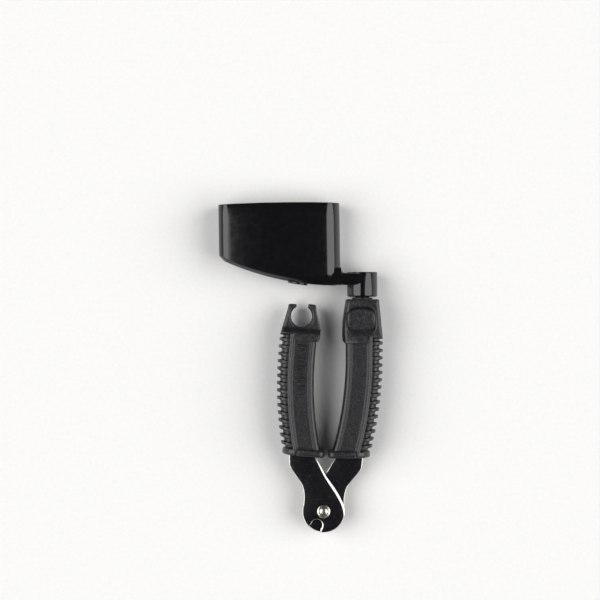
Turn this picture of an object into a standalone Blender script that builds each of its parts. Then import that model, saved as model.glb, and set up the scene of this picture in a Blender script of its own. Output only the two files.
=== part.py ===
"""Bass string winder with a string cutter and a bridge-pin puller.

The tool lies on its back: +Z points away from the table, +Y towards the winder
cup and +X to the right. Shapes are laid out from the cutter pivot, and at the
end the whole tool is moved so that the origin is under the middle of its box.
"""

import math

import bmesh
import bpy
from mathutils import Matrix, Vector

MM = 0.001

# Fits
CLEARANCE = 0.3 * MM          # gap between two pieces that touch or slide
CUT_MARGIN = 1.0 * MM         # how far a cutter runs past the wall it opens

# Heights above the table
TOOL_DEPTH = 21.0 * MM        # winder cup and both guards, front to back
MID_HEIGHT = TOOL_DEPTH / 2   # height of the crank axis and of the cutter's shear plane
GUARD_RISE = 1.5 * MM         # how far the guards stand proud of the handles
STEM_DEPTH = TOOL_DEPTH - 2 * GUARD_RISE

# Handles: a straight stem that bends in towards the pivot
STEM_INNER_X = 11.4 * MM      # from the centre line to the straight stem's inner face
STEM_HALF_WIDTH = 9.5 * MM    # inner face to spine, and spine to rib tips
SPINE_X = STEM_INNER_X + STEM_HALF_WIDTH
BEND_START_Y = 79.0 * MM
BEND_RADIUS = 182.0 * MM
STEM_EDGE = 1.3 * MM          # rounding of the inner edges
BEND_STATIONS = 9             # sections along the bend
STEM_EDGE_STEPS = 3
HANDLE_SPREAD_DEG = 5.0       # how far the left handle stands open

# Guard flange at the lower end of each handle
GUARD_LOW_Y = 28.1 * MM
GUARD_THICKNESS = 3.8 * MM
GUARD_TOP_Y = GUARD_LOW_Y + GUARD_THICKNESS
GUARD_INNER_X = 2.15 * MM     # from the centre line
GUARD_CORNER = 3.0 * MM
GUARD_EDGE = 0.8 * MM

# Collar at the upper end of each stem
COLLAR_LOW_Y = 86.3 * MM
COLLAR_OVERHANG = 1.9 * MM    # inwards, past the stem
COLLAR_HEEL = 1.9 * MM        # height of its slanting underside
COLLAR_HEEL_START = 1.4 * MM  # where the slant starts, out from the collar's inner side
COLLAR_HEEL_END = 0.25 * MM   # and where it ends
COLLAR_UNDERCUT = 1.0 * MM    # its outer side runs in past the start of the grip
COLLAR_OUTER_INSET = 0.2 * MM # its outer side inside the rib tips
COLLAR_OUTER_RISE = 2.4 * MM  # its outer side starts this much higher
COLLAR_INNER_X = STEM_INNER_X - COLLAR_OVERHANG
COLLAR_OUTER_X = SPINE_X + STEM_HALF_WIDTH - COLLAR_OUTER_INSET

# Comb of grip ribs down the outer side
RIB_TOP_RISE = 0.2 * MM       # the topmost rib's tip, over the collar's underside
RIB_TOP_Y = COLLAR_LOW_Y + RIB_TOP_RISE
RIB_PITCH = 3.77 * MM
RIB_THICKNESS = 2.0 * MM
RIB_HEIGHT = 1.7 * MM         # above the groove floor at the outermost line
RIB_INSET = 0.4 * MM          # ribs lie this much under the front and back faces
RIB_ROOT = 1.6 * MM           # how far a rib runs into the stem
RIB_SQUARENESS = 2.8          # power of the outer side's oval: 2 is an ellipse
RIB_STEPS = 10
GROOVE_DEPTH = 2.2 * MM       # under the front face, next to the outer rail
GRIP_START = 4.1 * MM         # from the spine to where the ribs begin
RIB_TILT_TOP_DEG = 3.0
RIB_TILT_BOTTOM_DEG = 9.0

# Recessed panel between the two rails, front and back
PANEL_INNER = -6.8 * MM       # from the spine
PANEL_OUTER = 2.2 * MM
PANEL_DEPTH = 0.8 * MM

# Swivel block on the right handle, with its thumb dimples
BLOCK_HEIGHT = 22.7 * MM
BLOCK_TOP_Y = COLLAR_LOW_Y + BLOCK_HEIGHT
BLOCK_TOP_WIDTH = 16.9 * MM
BLOCK_EDGE = 1.2 * MM
BLOCK_BOW = 0.2 * MM          # how far its inner flank bows out past the collar
BLOCK_FLANK_STEPS = 6
SWIVEL_X = SPINE_X - 1.05 * MM
DIMPLE_WIDTH = 15.2 * MM
DIMPLE_LOW_Y = COLLAR_LOW_Y + 3.9 * MM
DIMPLE_TOP_Y = BLOCK_TOP_Y - 3.8 * MM
DIMPLE_CORNER = 4.0 * MM
DIMPLE_DEPTH = 1.5 * MM

# Pin-puller claw on the left handle
CLAW_THICKNESS = 11.0 * MM
CLAW_STEP_LOW_Y = COLLAR_LOW_Y + 3.7 * MM
CLAW_STEP_RUN = 2.0 * MM
CLAW_BORE_RADIUS = 5.4 * MM
CLAW_BORE_STEPS = 20
CLAW_BORE_INSET = 0.8 * MM    # its centre, in from the spine
CLAW_BORE_X = SPINE_X - CLAW_BORE_INSET
CLAW_BORE_FLOOR = 1.5 * MM    # between the step's top and the bore
CLAW_BORE_Y = CLAW_STEP_LOW_Y + CLAW_STEP_RUN + CLAW_BORE_RADIUS + CLAW_BORE_FLOOR
CLAW_WAIST_INSET = 0.2 * MM   # claw's inner side at the step, out from the collar's
CLAW_MOUTH = 6.0 * MM
CLAW_HORN_WIDTH = 4.3 * MM    # of each horn, beside the mouth
CLAW_HORN_RISE = 1.4 * MM     # of each horn, above the bore's lip
CLAW_HORN_ROUND = 1.5 * MM    # how far its flank takes to turn over into its flat top
CLAW_HORN_STEPS = 4
CLAW_LIP_Y = CLAW_BORE_Y + math.sqrt(CLAW_BORE_RADIUS ** 2 - CLAW_MOUTH ** 2 / 4)
CLAW_TOP_Y = CLAW_LIP_Y + CLAW_HORN_RISE

# Cutter plates
PLATE_THICKNESS = 2.0 * MM
PLATE_EYE_RADIUS = 10.8 * MM
PLATE_SHOULDER_DROP = 1.1 * MM           # under the guard
PLATE_SHOULDER_Y = GUARD_LOW_Y - PLATE_SHOULDER_DROP
PLATE_INNER = -6.9 * MM       # from the spine, under the guard
PLATE_OUTER = 6.5 * MM
PLATE_HIP = (19.5 * MM, 22.0 * MM)       # where the outer edge turns in
PLATE_WAIST = (12.2 * MM, 12.6 * MM)
PLATE_EYE_LEAVES_DEG = 12.0   # where the outer and inner edges leave the round eye
PLATE_CROSSING = (0.4 * MM, 18.3 * MM)   # where the inner edge meets the centre line
# Pulls of the plate's curved edges, each measured from the point that it leaves or reaches
PLATE_HIP_PULL = (-1.3 * MM, -2.6 * MM)
PLATE_WAIST_UPPER_PULL = (2.6 * MM, 3.6 * MM)
PLATE_WAIST_LOWER_PULL = (-1.5 * MM, -3.0 * MM)
PLATE_OUTER_EYE_PULL = (-0.2 * MM, 3.2 * MM)
PLATE_INNER_EYE_PULL = (1.9 * MM, 6.3 * MM)
PLATE_CROSSING_PULL = (-2.8 * MM, -3.3 * MM)
PLATE_HIP_STEPS = 6
PLATE_WAIST_STEPS = 4
PLATE_FLANK_STEPS = 7
PLATE_EYE_STEPS = 24
TANG_LENGTH = 33.9 * MM       # above the guard's underside
TANG_INNER = -4.2 * MM        # from the spine
TANG_OUTER = 3.2 * MM
TANG_STATIONS = 5
NOTCH_RADIUS = 2.9 * MM
NOTCH_INSET = 3.0 * MM        # from the eye's edge to the notch's centre
NOTCH_LIP_DEG = 70.0          # half angle, from its centre, of the round's open side
NOTCH_ANGLE_DEG = 22.3        # off the plate's lower centre line, towards the outside
NOTCH_MOUTH_DEG = 52.0        # half angle at which the notch opens
NOTCH_STEPS = 14

# Pivot rivet and its washer
RIVET_SHANK = 4.0 * MM
RIVET_HEAD_LIP = 1.5 * MM     # head past the shank
RIVET_HEAD_HEIGHT = 1.3 * MM
RIVET_TAIL_LIP = 1.2 * MM
RIVET_TAIL_HEIGHT = 1.0 * MM
# Head, crown to rim, as shares of its radius and height: a dome, a groove and a ring
RIVET_CROWN = ((0.32, 0.94), (0.58, 0.62), (0.68, 0.72), (0.86, 0.62), (1.0, 0.18))
RIVET_CLENCH = ((0.9, 0.6), (0.5, 1.0))  # and its tail, rim to middle
WASHER_LIP = 2.5 * MM
WASHER_THICKNESS = 0.8 * MM

# Swivel: pin, bush round it, and the pin's head with its cap, nested outwards
PIN_DIAMETER = 5.0 * MM
PIN_DEPTH = 13.0 * MM         # below the block's top
PIN_HEAD_LIP = 1.0 * MM       # pin's head past the bush
PIN_HEAD_THICKNESS = 1.5 * MM
PIN_HEAD_EDGE = 0.4 * MM
PIN_FOOT_EDGE = 0.5 * MM
BUSH_WALL = 0.9 * MM
BUSH_DIAMETER = PIN_DIAMETER + 2 * (CLEARANCE + BUSH_WALL)
BUSH_FLANGE_LIP = 1.6 * MM    # flange, seen as the neck, past the bush's sleeve
BUSH_SEAT_DEPTH = 1.7 * MM    # how deep the flange sits in the block
NECK_DIAMETER = BUSH_DIAMETER + 2 * BUSH_FLANGE_LIP
NECK_HEIGHT = 1.2 * MM        # gap between block and hub
PIN_HEAD = BUSH_DIAMETER + 2 * PIN_HEAD_LIP
CAP_LIP = 0.8 * MM
CAP_DIAMETER = PIN_HEAD + 2 * CAP_LIP
CAP_THICKNESS = 1.1 * MM
CAP_RECESS = 0.3 * MM         # under the hub's top
CAP_DISH = 0.4 * MM
CAP_DISH_FLOOR = (0.55, 0.8)  # where the dish's floor ends: share of the radius and of the dish
CAP_DISH_RIM = 0.85           # share of the radius where the dish begins

# Crank hub
HUB_WALL = 2.0 * MM           # round the cap's seat
HUB_WEB = 9.3 * MM            # hub material that turns on the bush
HUB_EDGE = 0.8 * MM
HUB_DIAMETER = CAP_DIAMETER + 2 * (CLEARANCE + HUB_WALL)
HUB_LOW_Y = BLOCK_TOP_Y + NECK_HEIGHT
HUB_FLOOR_Y = HUB_LOW_Y + HUB_WEB        # where the pin's head runs
HUB_TOP_Y = HUB_FLOOR_Y + PIN_HEAD_THICKNESS + CAP_THICKNESS + 2 * CLEARANCE + CAP_RECESS

# Crank arm
ARM_RISE = 6.1 * MM           # its underside over the hub's
ARM_HEIGHT = 6.3 * MM
ARM_HUB_INSET = 0.2 * MM      # its faces under the hub's crest
ARM_THICKNESS = HUB_DIAMETER - 2 * ARM_HUB_INSET
ARM_EDGE = 1.0 * MM
WEB_RISE = 2.9 * MM           # web against the cup's side, over the arm's top
WEB_REACH = 0.3 * MM          # web past the cup's side
WEB_INSET = 1.2 * MM          # its faces under the arm's
ARM_REACH = 11.2 * MM         # swivel axis to the cup's side
ARM_LOW_Y = HUB_LOW_Y + ARM_RISE
ARM_TOP_Y = ARM_LOW_Y + ARM_HEIGHT

# Winder cup
CUP_WIDTH = 62.2 * MM
CUP_HEIGHT = 43.0 * MM
CUP_WALL = 2.2 * MM
CUP_FREE_CORNER = 5.5 * MM    # plan radius away from the crank
CUP_CRANK_CORNER = 8.0 * MM   # plan radius beside the arm
CUP_CORNER_STEPS = 5
CUP_FACE_STEPS = 8
CUP_EDGE_STEPS = 3
CUP_FACE_TILT_DEG = 6.0       # how far the bulged faces lean back at their ends
CUP_RIM_RADIUS = 811.0 * MM
CUP_BOTTOM_RADIUS = 145.2 * MM
CUP_BOTTOM_EDGE = 1.5 * MM
CUP_LEAN_DEG = 0.9            # the cup leans away from the crank
CUP_RIGHT_X = SWIVEL_X - ARM_REACH
CUP_LEFT_X = CUP_RIGHT_X - CUP_WIDTH
CUP_MIDDLE_X = CUP_RIGHT_X - CUP_WIDTH / 2
CUP_LOW_X = CUP_RIGHT_X + 1.35 * MM      # where the curved bottom would be level
CUP_LOW_Y = ARM_LOW_Y - 0.3 * MM
CUP_RIM_Y = CUP_LOW_Y + CUP_HEIGHT
BOSS_X = CUP_MIDDLE_X + 9.05 * MM
BOSS_DIAMETER = 10.3 * MM
BOSS_HEIGHT = 0.9 * MM
BOSS_EDGE = 0.5 * MM

# Colours (linear), roughness and metallic value of each material
MATERIALS = {
    "gloss_black": ((0.008, 0.008, 0.009), 0.16, 0.0),
    "textured_black": ((0.018, 0.018, 0.019), 0.55, 0.0),
    "neck_black": ((0.010, 0.010, 0.010), 0.45, 0.0),
    "black_oxide": ((0.012, 0.012, 0.013), 0.32, 1.0),
    "bright_steel": ((0.62, 0.61, 0.58), 0.22, 1.0),
    "pin_steel": ((0.45, 0.45, 0.46), 0.30, 1.0),
}

SMOOTH_ANGLE = math.radians(32)
WELD = 0.002 * MM


# ---------------------------------------------------------------- scene set-up

def clear_scene():
    for old in list(bpy.data.objects):
        bpy.data.objects.remove(old, do_unlink=True)


def new_collection(name):
    collection = bpy.data.collections.new(name)
    bpy.context.scene.collection.children.link(collection)
    return collection


def new_material(node_name, look):
    colour, roughness, metallic = MATERIALS[look]
    material = bpy.data.materials.new(node_name + "_" + look)
    material.use_nodes = True
    shader = material.node_tree.nodes["Principled BSDF"]
    shader.inputs["Base Color"].default_value = (*colour, 1.0)
    shader.inputs["Roughness"].default_value = roughness
    shader.inputs["Metallic"].default_value = metallic
    return material


def new_empty(name, parent, location, turn_z=0.0):
    empty = bpy.data.objects.new(name, None)
    empty.location = location
    empty.rotation_euler = (0.0, 0.0, turn_z)
    empty.parent = parent
    parts.objects.link(empty)
    return empty


def smooth(mesh):
    mesh.shade_smooth()
    mesh.set_sharp_from_angle(angle=SMOOTH_ANGLE)


def as_object(name, mesh, parent):
    """Put a mesh in the cutters' collection, from which piece() takes the visible ones."""
    smooth(mesh)
    thing = bpy.data.objects.new(name, mesh)
    thing.parent = parent
    thing.hide_render = True
    thing.display_type = "WIRE"
    cutters.objects.link(thing)
    return thing


def piece(thing, name, look):
    """Make an object a visible piece of the tool."""
    cutters.objects.unlink(thing)
    parts.objects.link(thing)
    thing.name = name
    thing.hide_render = False
    thing.display_type = "TEXTURED"
    thing.data.materials.clear()
    thing.data.materials.append(new_material(name, look))
    return thing


# ------------------------------------------------------------- shape helpers

def arc_points(centre, radius, start_deg, end_deg, steps):
    points = []
    for step in range(steps + 1):
        angle = math.radians(start_deg + (end_deg - start_deg) * step / steps)
        points.append((centre[0] + radius * math.cos(angle), centre[1] + radius * math.sin(angle)))
    return points


def bezier(first, pull_first, pull_last, last, steps):
    """A smooth edge between two points, pulled towards two handles."""
    points = []
    for step in range(steps + 1):
        t = step / steps
        s = 1 - t
        weights = (s ** 3, 3 * s * s * t, 3 * s * t * t, t ** 3)
        corners = (first, pull_first, pull_last, last)
        points.append(tuple(sum(w * c[i] for w, c in zip(weights, corners)) for i in range(2)))
    return points


def mirrored(points, side):
    return [(side * x, y) for x, y in points]


def flat_outline(name, points, low, high, parent, lay="XY"):
    """A flat outline with thickness: a filled 2D curve, extruded, as a closed mesh.

    Laid in XY the thickness runs along Z. Laid in XZ the outline's second
    coordinate is the height and the thickness runs along Y. Laid in YZ it is
    (y, height) and the thickness runs along X.
    """
    curve = bpy.data.curves.new(name, "CURVE")
    curve.dimensions = "2D"
    curve.fill_mode = "BOTH"
    curve.extrude = (high - low) / 2
    spline = curve.splines.new("POLY")
    spline.points.add(len(points) - 1)
    for spline_point, (x, y) in zip(spline.points, points):
        spline_point.co = (x, y, 0.0, 1.0)
    spline.use_cyclic_u = True
    draft = bpy.data.objects.new(name + "_outline", curve)
    bpy.context.scene.collection.objects.link(draft)
    bpy.context.view_layer.update()
    evaluated = draft.evaluated_get(bpy.context.evaluated_depsgraph_get())
    mesh = bpy.data.meshes.new_from_object(evaluated)
    bpy.data.objects.remove(draft, do_unlink=True)
    mesh.transform(Matrix.Translation((0, 0, (high + low) / 2)))
    if lay == "XZ":
        mesh.transform(Matrix(((1, 0, 0, 0), (0, 0, 1, 0), (0, 1, 0, 0), (0, 0, 0, 1))))
    if lay == "YZ":
        mesh.transform(Matrix(((0, 0, 1, 0), (1, 0, 0, 0), (0, 1, 0, 0), (0, 0, 0, 1))))
    return as_object(name, clean(mesh), parent)


def clean(mesh):
    """Weld a mesh's seams and turn its faces outwards."""
    shape = bmesh.new()
    shape.from_mesh(mesh)
    bmesh.ops.remove_doubles(shape, verts=shape.verts, dist=WELD)
    bmesh.ops.dissolve_degenerate(shape, edges=shape.edges, dist=WELD)
    bmesh.ops.recalc_face_normals(shape, faces=shape.faces)
    shape.to_mesh(mesh)
    shape.free()
    return mesh


def loft(name, rings, parent):
    """Skin a row of like rings and close both ends."""
    shape = bmesh.new()
    rows = [[shape.verts.new(point) for point in ring] for ring in rings]
    count = len(rows[0])
    for lower, upper in zip(rows, rows[1:]):
        for i in range(count):
            j = (i + 1) % count
            shape.faces.new((lower[i], lower[j], upper[j], upper[i]))
    shape.faces.new(rows[0])
    shape.faces.new(rows[-1])
    mesh = bpy.data.meshes.new(name)
    shape.to_mesh(mesh)
    shape.free()
    return as_object(name, clean(mesh), parent)


def turned(name, profile, parent, steps=32, along_y=False):
    """A turned shape: a profile of (radius, height), run round its axis with Screw.

    The profile runs down the outer side. A profile that leaves the axis at
    both ends is a ring, and is closed up its inner side.
    """
    shape = bmesh.new()
    row = [shape.verts.new((radius, 0.0, height)) for radius, height in profile]
    for upper, lower in zip(row, row[1:]):
        shape.edges.new((upper, lower))
    if profile[0][0] > 0:
        shape.edges.new((row[-1], row[0]))
    mesh = bpy.data.meshes.new(name)
    shape.to_mesh(mesh)
    shape.free()
    thing = as_object(name, mesh, parent)
    screw = thing.modifiers.new("turn", "SCREW")
    screw.steps = steps
    screw.render_steps = steps
    screw.use_merge_vertices = True
    screw.merge_threshold = WELD
    screw.use_smooth_shade = True
    if along_y:
        thing.rotation_euler = (-math.pi / 2, 0.0, 0.0)
    return thing


def rounded(thing, width, segments=2, angle_deg=50):
    bevel = thing.modifiers.new("rounded_edges", "BEVEL")
    bevel.width = width
    bevel.segments = segments
    bevel.limit_method = "ANGLE"
    bevel.angle_limit = math.radians(angle_deg)
    bevel.use_clamp_overlap = True
    return thing


def join(thing, other):
    boolean = thing.modifiers.new("with_" + other.name, "BOOLEAN")
    boolean.operation = "UNION"
    boolean.solver = "EXACT"
    boolean.object = other


def cut(thing, cutter):
    boolean = thing.modifiers.new("less_" + cutter.name, "BOOLEAN")
    boolean.operation = "DIFFERENCE"
    boolean.solver = "EXACT"
    boolean.object = cutter


# ------------------------------------------------------------------ handles

def bend_x(offset, y):
    """How far out a line at this offset from the handle's spine lies at height y."""
    if y >= BEND_START_Y:
        return SPINE_X + offset
    drop = BEND_START_Y - y
    return SPINE_X - BEND_RADIUS + math.sqrt((BEND_RADIUS + offset) ** 2 - drop ** 2)


def stations(low, high, count=BEND_STATIONS):
    """Even heights for a run along the bend, both ends included."""
    return [low + (high - low) * step / (count - 1) for step in range(count)]


def stem_section():
    """Half of the stem's section, front side, as (offset from the spine, height over mid)."""
    half = STEM_DEPTH / 2
    groove_reach = STEM_HALF_WIDTH - RIB_HEIGHT - GRIP_START
    inner_edge = arc_points((-STEM_HALF_WIDTH + STEM_EDGE, half - STEM_EDGE), STEM_EDGE, 180, 90,
                            STEM_EDGE_STEPS)
    groove = half_oval(groove_reach, half - GROOVE_DEPTH, RIB_STEPS)
    front_groove = [(GRIP_START + reach, height) for reach, height in reversed(groove) if height > WELD]
    return inner_edge + [(GRIP_START, half)] + front_groove


def make_stem(side, parent):
    front = stem_section()
    outermost = [(STEM_HALF_WIDTH - RIB_HEIGHT, 0.0)]
    back = [(offset, -height) for offset, height in reversed(front)]
    section = front + outermost + back
    low = GUARD_LOW_Y + GUARD_THICKNESS / 2
    high = COLLAR_LOW_Y + CUT_MARGIN
    rings = []
    for y in stations(low, high):
        rings.append([(side * bend_x(offset, y), y, MID_HEIGHT + height) for offset, height in section])
    return loft("stem", rings, parent)


def make_ribs(side, parent):
    """The comb: thin D-shaped plates that stand out of the stem, all in one operand."""
    half = STEM_DEPTH / 2 - RIB_INSET
    reach = STEM_HALF_WIDTH - GRIP_START
    count = 1 + int((RIB_TOP_Y - RIB_THICKNESS / 2 - GUARD_TOP_Y) / RIB_PITCH)
    outline = [(-RIB_ROOT, -half)] + half_oval(reach, half, RIB_STEPS) + [(-RIB_ROOT, half)]
    shape = bmesh.new()
    for number in range(count):
        tip_y = RIB_TOP_Y - number * RIB_PITCH
        share = number / (count - 1)
        tilt = math.radians(RIB_TILT_TOP_DEG + (RIB_TILT_BOTTOM_DEG - RIB_TILT_TOP_DEG) * share)
        start_y = tip_y - reach * math.sin(tilt)
        start_x = bend_x(STEM_HALF_WIDTH, tip_y) - reach * math.cos(tilt)
        faces = []
        for thickness in (-RIB_THICKNESS / 2, RIB_THICKNESS / 2):
            ring = []
            for along, height in outline:
                x = start_x + along * math.cos(tilt) - thickness * math.sin(tilt)
                y = start_y + along * math.sin(tilt) + thickness * math.cos(tilt)
                ring.append(shape.verts.new((side * x, y, MID_HEIGHT + height)))
            shape.faces.new(ring)
            faces.append(ring)
        lower, upper = faces
        for i in range(len(outline)):
            j = (i + 1) % len(outline)
            shape.faces.new((lower[i], lower[j], upper[j], upper[i]))
    mesh = bpy.data.meshes.new("ribs")
    shape.to_mesh(mesh)
    shape.free()
    return as_object("ribs", clean(mesh), parent)


def half_oval(reach, half, steps):
    """The outer half of a squarish oval, from its lower end to its upper end."""
    points = []
    power = 2 / RIB_SQUARENESS
    for step in range(steps + 1):
        angle = math.radians(-90 + 180 * step / steps)
        out = reach * abs(math.cos(angle)) ** power
        points.append((out, math.copysign(half * abs(math.sin(angle)) ** power, angle)))
    points[0] = (0.0, -half)
    points[-1] = (0.0, half)
    return points


def make_panel_cutters(side, parent):
    """Shallow recesses between the rails, front and back, that follow the bend.

    They run out through both ends of the stem, which the guard and the block then cover.
    """
    low = GUARD_LOW_Y
    high = COLLAR_LOW_Y + 2 * CUT_MARGIN
    floors = []
    for face in (1, -1):
        floor = MID_HEIGHT + face * (STEM_DEPTH / 2 - PANEL_DEPTH)
        above = MID_HEIGHT + face * (STEM_DEPTH / 2 + CUT_MARGIN)
        rings = []
        for y in stations(low, high):
            inner = side * bend_x(PANEL_INNER, y)
            outer = side * bend_x(PANEL_OUTER, y)
            rings.append([(inner, y, floor), (outer, y, floor), (outer, y, above), (inner, y, above)])
        floors.append(loft("panel_cut", rings, parent))
    return floors


def make_guard(side, parent):
    """The flange that stops the fingers: a rounded plate across the lower end."""
    outer_x = bend_x(STEM_HALF_WIDTH, GUARD_LOW_Y + GUARD_THICKNESS / 2)
    outline = rounded_rectangle(GUARD_INNER_X, 0.0, outer_x, TOOL_DEPTH, GUARD_CORNER)
    guard = flat_outline("guard", mirrored(outline, side), GUARD_LOW_Y, GUARD_TOP_Y, parent, lay="XZ")
    return rounded(guard, GUARD_EDGE, 1)


def collar_heel():
    """Inner edge of the collar's slanting underside."""
    return [(COLLAR_INNER_X + COLLAR_HEEL_START, COLLAR_LOW_Y),
            (COLLAR_INNER_X + COLLAR_HEEL_END, COLLAR_LOW_Y + COLLAR_HEEL)]


def collar_outer_edge():
    """From the collar's outer side down to the first groove, and in under the collar."""
    step_x = SPINE_X + GRIP_START - COLLAR_UNDERCUT
    low = COLLAR_LOW_Y + COLLAR_OUTER_RISE
    return [(COLLAR_OUTER_X, low), (step_x, low), (step_x, COLLAR_LOW_Y)]


def make_swivel_block(side, parent):
    top_inner = (SWIVEL_X - BLOCK_TOP_WIDTH / 2, BLOCK_TOP_Y)
    top_outer = (SWIVEL_X + BLOCK_TOP_WIDTH / 2, BLOCK_TOP_Y)
    heel = collar_heel()
    flank = bezier(heel[-1], (COLLAR_INNER_X - BLOCK_BOW, COLLAR_LOW_Y + BLOCK_HEIGHT / 3),
                   (COLLAR_INNER_X, COLLAR_LOW_Y + BLOCK_HEIGHT / 2), top_inner, BLOCK_FLANK_STEPS)
    outline = heel + flank[1:] + [top_outer] + collar_outer_edge()
    block = flat_outline("swivel_block", mirrored(outline, side), MID_HEIGHT - STEM_DEPTH / 2,
                         MID_HEIGHT + STEM_DEPTH / 2, parent)
    return rounded(block, BLOCK_EDGE)


def rounded_rectangle(left, low, right, top, radius, steps=4):
    points = arc_points((right - radius, top - radius), radius, 0, 90, steps)
    points += arc_points((left + radius, top - radius), radius, 90, 180, steps)
    points += arc_points((left + radius, low + radius), radius, 180, 270, steps)
    points += arc_points((right - radius, low + radius), radius, 270, 360, steps)
    return points


def make_dimple_cutters(parent):
    left = SWIVEL_X - DIMPLE_WIDTH / 2
    outline = rounded_rectangle(left, DIMPLE_LOW_Y, left + DIMPLE_WIDTH, DIMPLE_TOP_Y, DIMPLE_CORNER)
    face = STEM_DEPTH / 2
    front = flat_outline("front_dimple", outline, MID_HEIGHT + face - DIMPLE_DEPTH,
                         MID_HEIGHT + face + CUT_MARGIN, parent)
    back = flat_outline("back_dimple", outline, MID_HEIGHT - face - CUT_MARGIN,
                        MID_HEIGHT - face + DIMPLE_DEPTH, parent)
    return front, back


def claw_horn(side_of_bore):
    """One horn, from its outer flank over its flat top to the corner at the mouth."""
    mouth = CLAW_BORE_X + side_of_bore * CLAW_MOUTH / 2
    flank = mouth + side_of_bore * CLAW_HORN_WIDTH
    corner = (flank, CLAW_TOP_Y)
    flat_end = (flank - side_of_bore * CLAW_HORN_ROUND, CLAW_TOP_Y)
    return bezier((flank, CLAW_LIP_Y), corner, corner, flat_end, CLAW_HORN_STEPS) + [(mouth, CLAW_TOP_Y)]


def make_claw_block(side, parent):
    """Collar and claw in one outline: up the inner edge, round the bore, down the outer edge."""
    lip = math.degrees(math.asin(CLAW_MOUTH / 2 / CLAW_BORE_RADIUS))
    waist = (COLLAR_INNER_X + CLAW_WAIST_INSET, CLAW_STEP_LOW_Y + CLAW_STEP_RUN)
    ring = arc_points((CLAW_BORE_X, CLAW_BORE_Y), CLAW_BORE_RADIUS, 90 + lip, 450 - lip,
                      CLAW_BORE_STEPS)
    outline = collar_heel() + [waist] + claw_horn(-1) + ring + claw_horn(1)[::-1] + collar_outer_edge()
    return flat_outline("claw_block", mirrored(outline, side), MID_HEIGHT - STEM_DEPTH / 2,
                        MID_HEIGHT + STEM_DEPTH / 2, parent)


def make_claw_step_cutters(side, parent):
    """Cutters that thin the claw, front and back, down to a sloping step over the collar."""
    ends = sorted((side * (COLLAR_INNER_X - CUT_MARGIN), side * (COLLAR_OUTER_X + CUT_MARGIN)))
    cutters_made = []
    for face in (1, -1):
        full = STEM_DEPTH / 2
        slope = (full - CLAW_THICKNESS / 2) / CLAW_STEP_RUN
        outside = full + CUT_MARGIN
        profile = [(CLAW_STEP_LOW_Y - CUT_MARGIN / slope, outside),
                   (CLAW_STEP_LOW_Y + CLAW_STEP_RUN, CLAW_THICKNESS / 2),
                   (CLAW_TOP_Y + 2 * CUT_MARGIN, CLAW_THICKNESS / 2),
                   (CLAW_TOP_Y + 2 * CUT_MARGIN, outside)]
        outline = [(y, MID_HEIGHT + face * height) for y, height in profile]
        cutters_made.append(flat_outline("claw_step", outline, ends[0], ends[1], parent, lay="YZ"))
    return cutters_made


def plate_height(rear):
    """Lower and upper face of a cutter plate, just clear of the shear plane."""
    if rear:
        return MID_HEIGHT - CLEARANCE / 2 - PLATE_THICKNESS, MID_HEIGHT - CLEARANCE / 2
    return MID_HEIGHT + CLEARANCE / 2, MID_HEIGHT + CLEARANCE / 2 + PLATE_THICKNESS


def tang_edges(grow):
    """The tang's sides, up and over: it follows the bend inside the stem."""
    heights = stations(PLATE_SHOULDER_Y, GUARD_LOW_Y + TANG_LENGTH + grow, TANG_STATIONS)
    inner = [(bend_x(TANG_INNER - grow, y), y) for y in heights]
    outer = [(bend_x(TANG_OUTER + grow, y), y) for y in reversed(heights)]
    return inner, outer


def make_tang_slot(side, rear, parent):
    inner, outer = tang_edges(CLEARANCE)
    low, high = plate_height(rear)
    return flat_outline("tang_slot", mirrored(inner + outer, side), low - CLEARANCE,
                        high + CLEARANCE, parent)


def make_handle(side, rear_plate, parent):
    """Everything the two handles share. One is the mirror image of the other."""
    stem = make_stem(side, parent)
    join(stem, make_ribs(side, parent))
    for cutter in make_panel_cutters(side, parent):
        cut(stem, cutter)
    join(stem, make_guard(side, parent))
    cut(stem, make_tang_slot(side, rear_plate, parent))
    return stem


def make_right_handle(parent):
    handle = make_handle(1, True, parent)
    join(handle, make_swivel_block(1, parent))
    for cutter in make_dimple_cutters(parent):
        cut(handle, cutter)
    seat = NECK_DIAMETER / 2 + CLEARANCE
    bore = PIN_DIAMETER / 2 + CLEARANCE
    profile = [(0, CUT_MARGIN), (seat, CUT_MARGIN), (seat, -BUSH_SEAT_DEPTH - CLEARANCE),
               (bore, -BUSH_SEAT_DEPTH - CLEARANCE), (bore, -PIN_DEPTH - CLEARANCE),
               (0, -PIN_DEPTH - CLEARANCE)]
    hole = turned("pin_hole", profile, parent, along_y=True)
    hole.location = (SWIVEL_X, BLOCK_TOP_Y, MID_HEIGHT)
    cut(handle, hole)
    return piece(handle, "right_handle", "textured_black")


def make_left_handle(parent):
    handle = make_handle(-1, False, parent)
    claw = make_claw_block(-1, parent)
    for cutter in make_claw_step_cutters(-1, parent):
        cut(claw, cutter)
    join(handle, claw)
    return piece(handle, "left_handle", "textured_black")


# ------------------------------------------------------------ cutter plates

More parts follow.
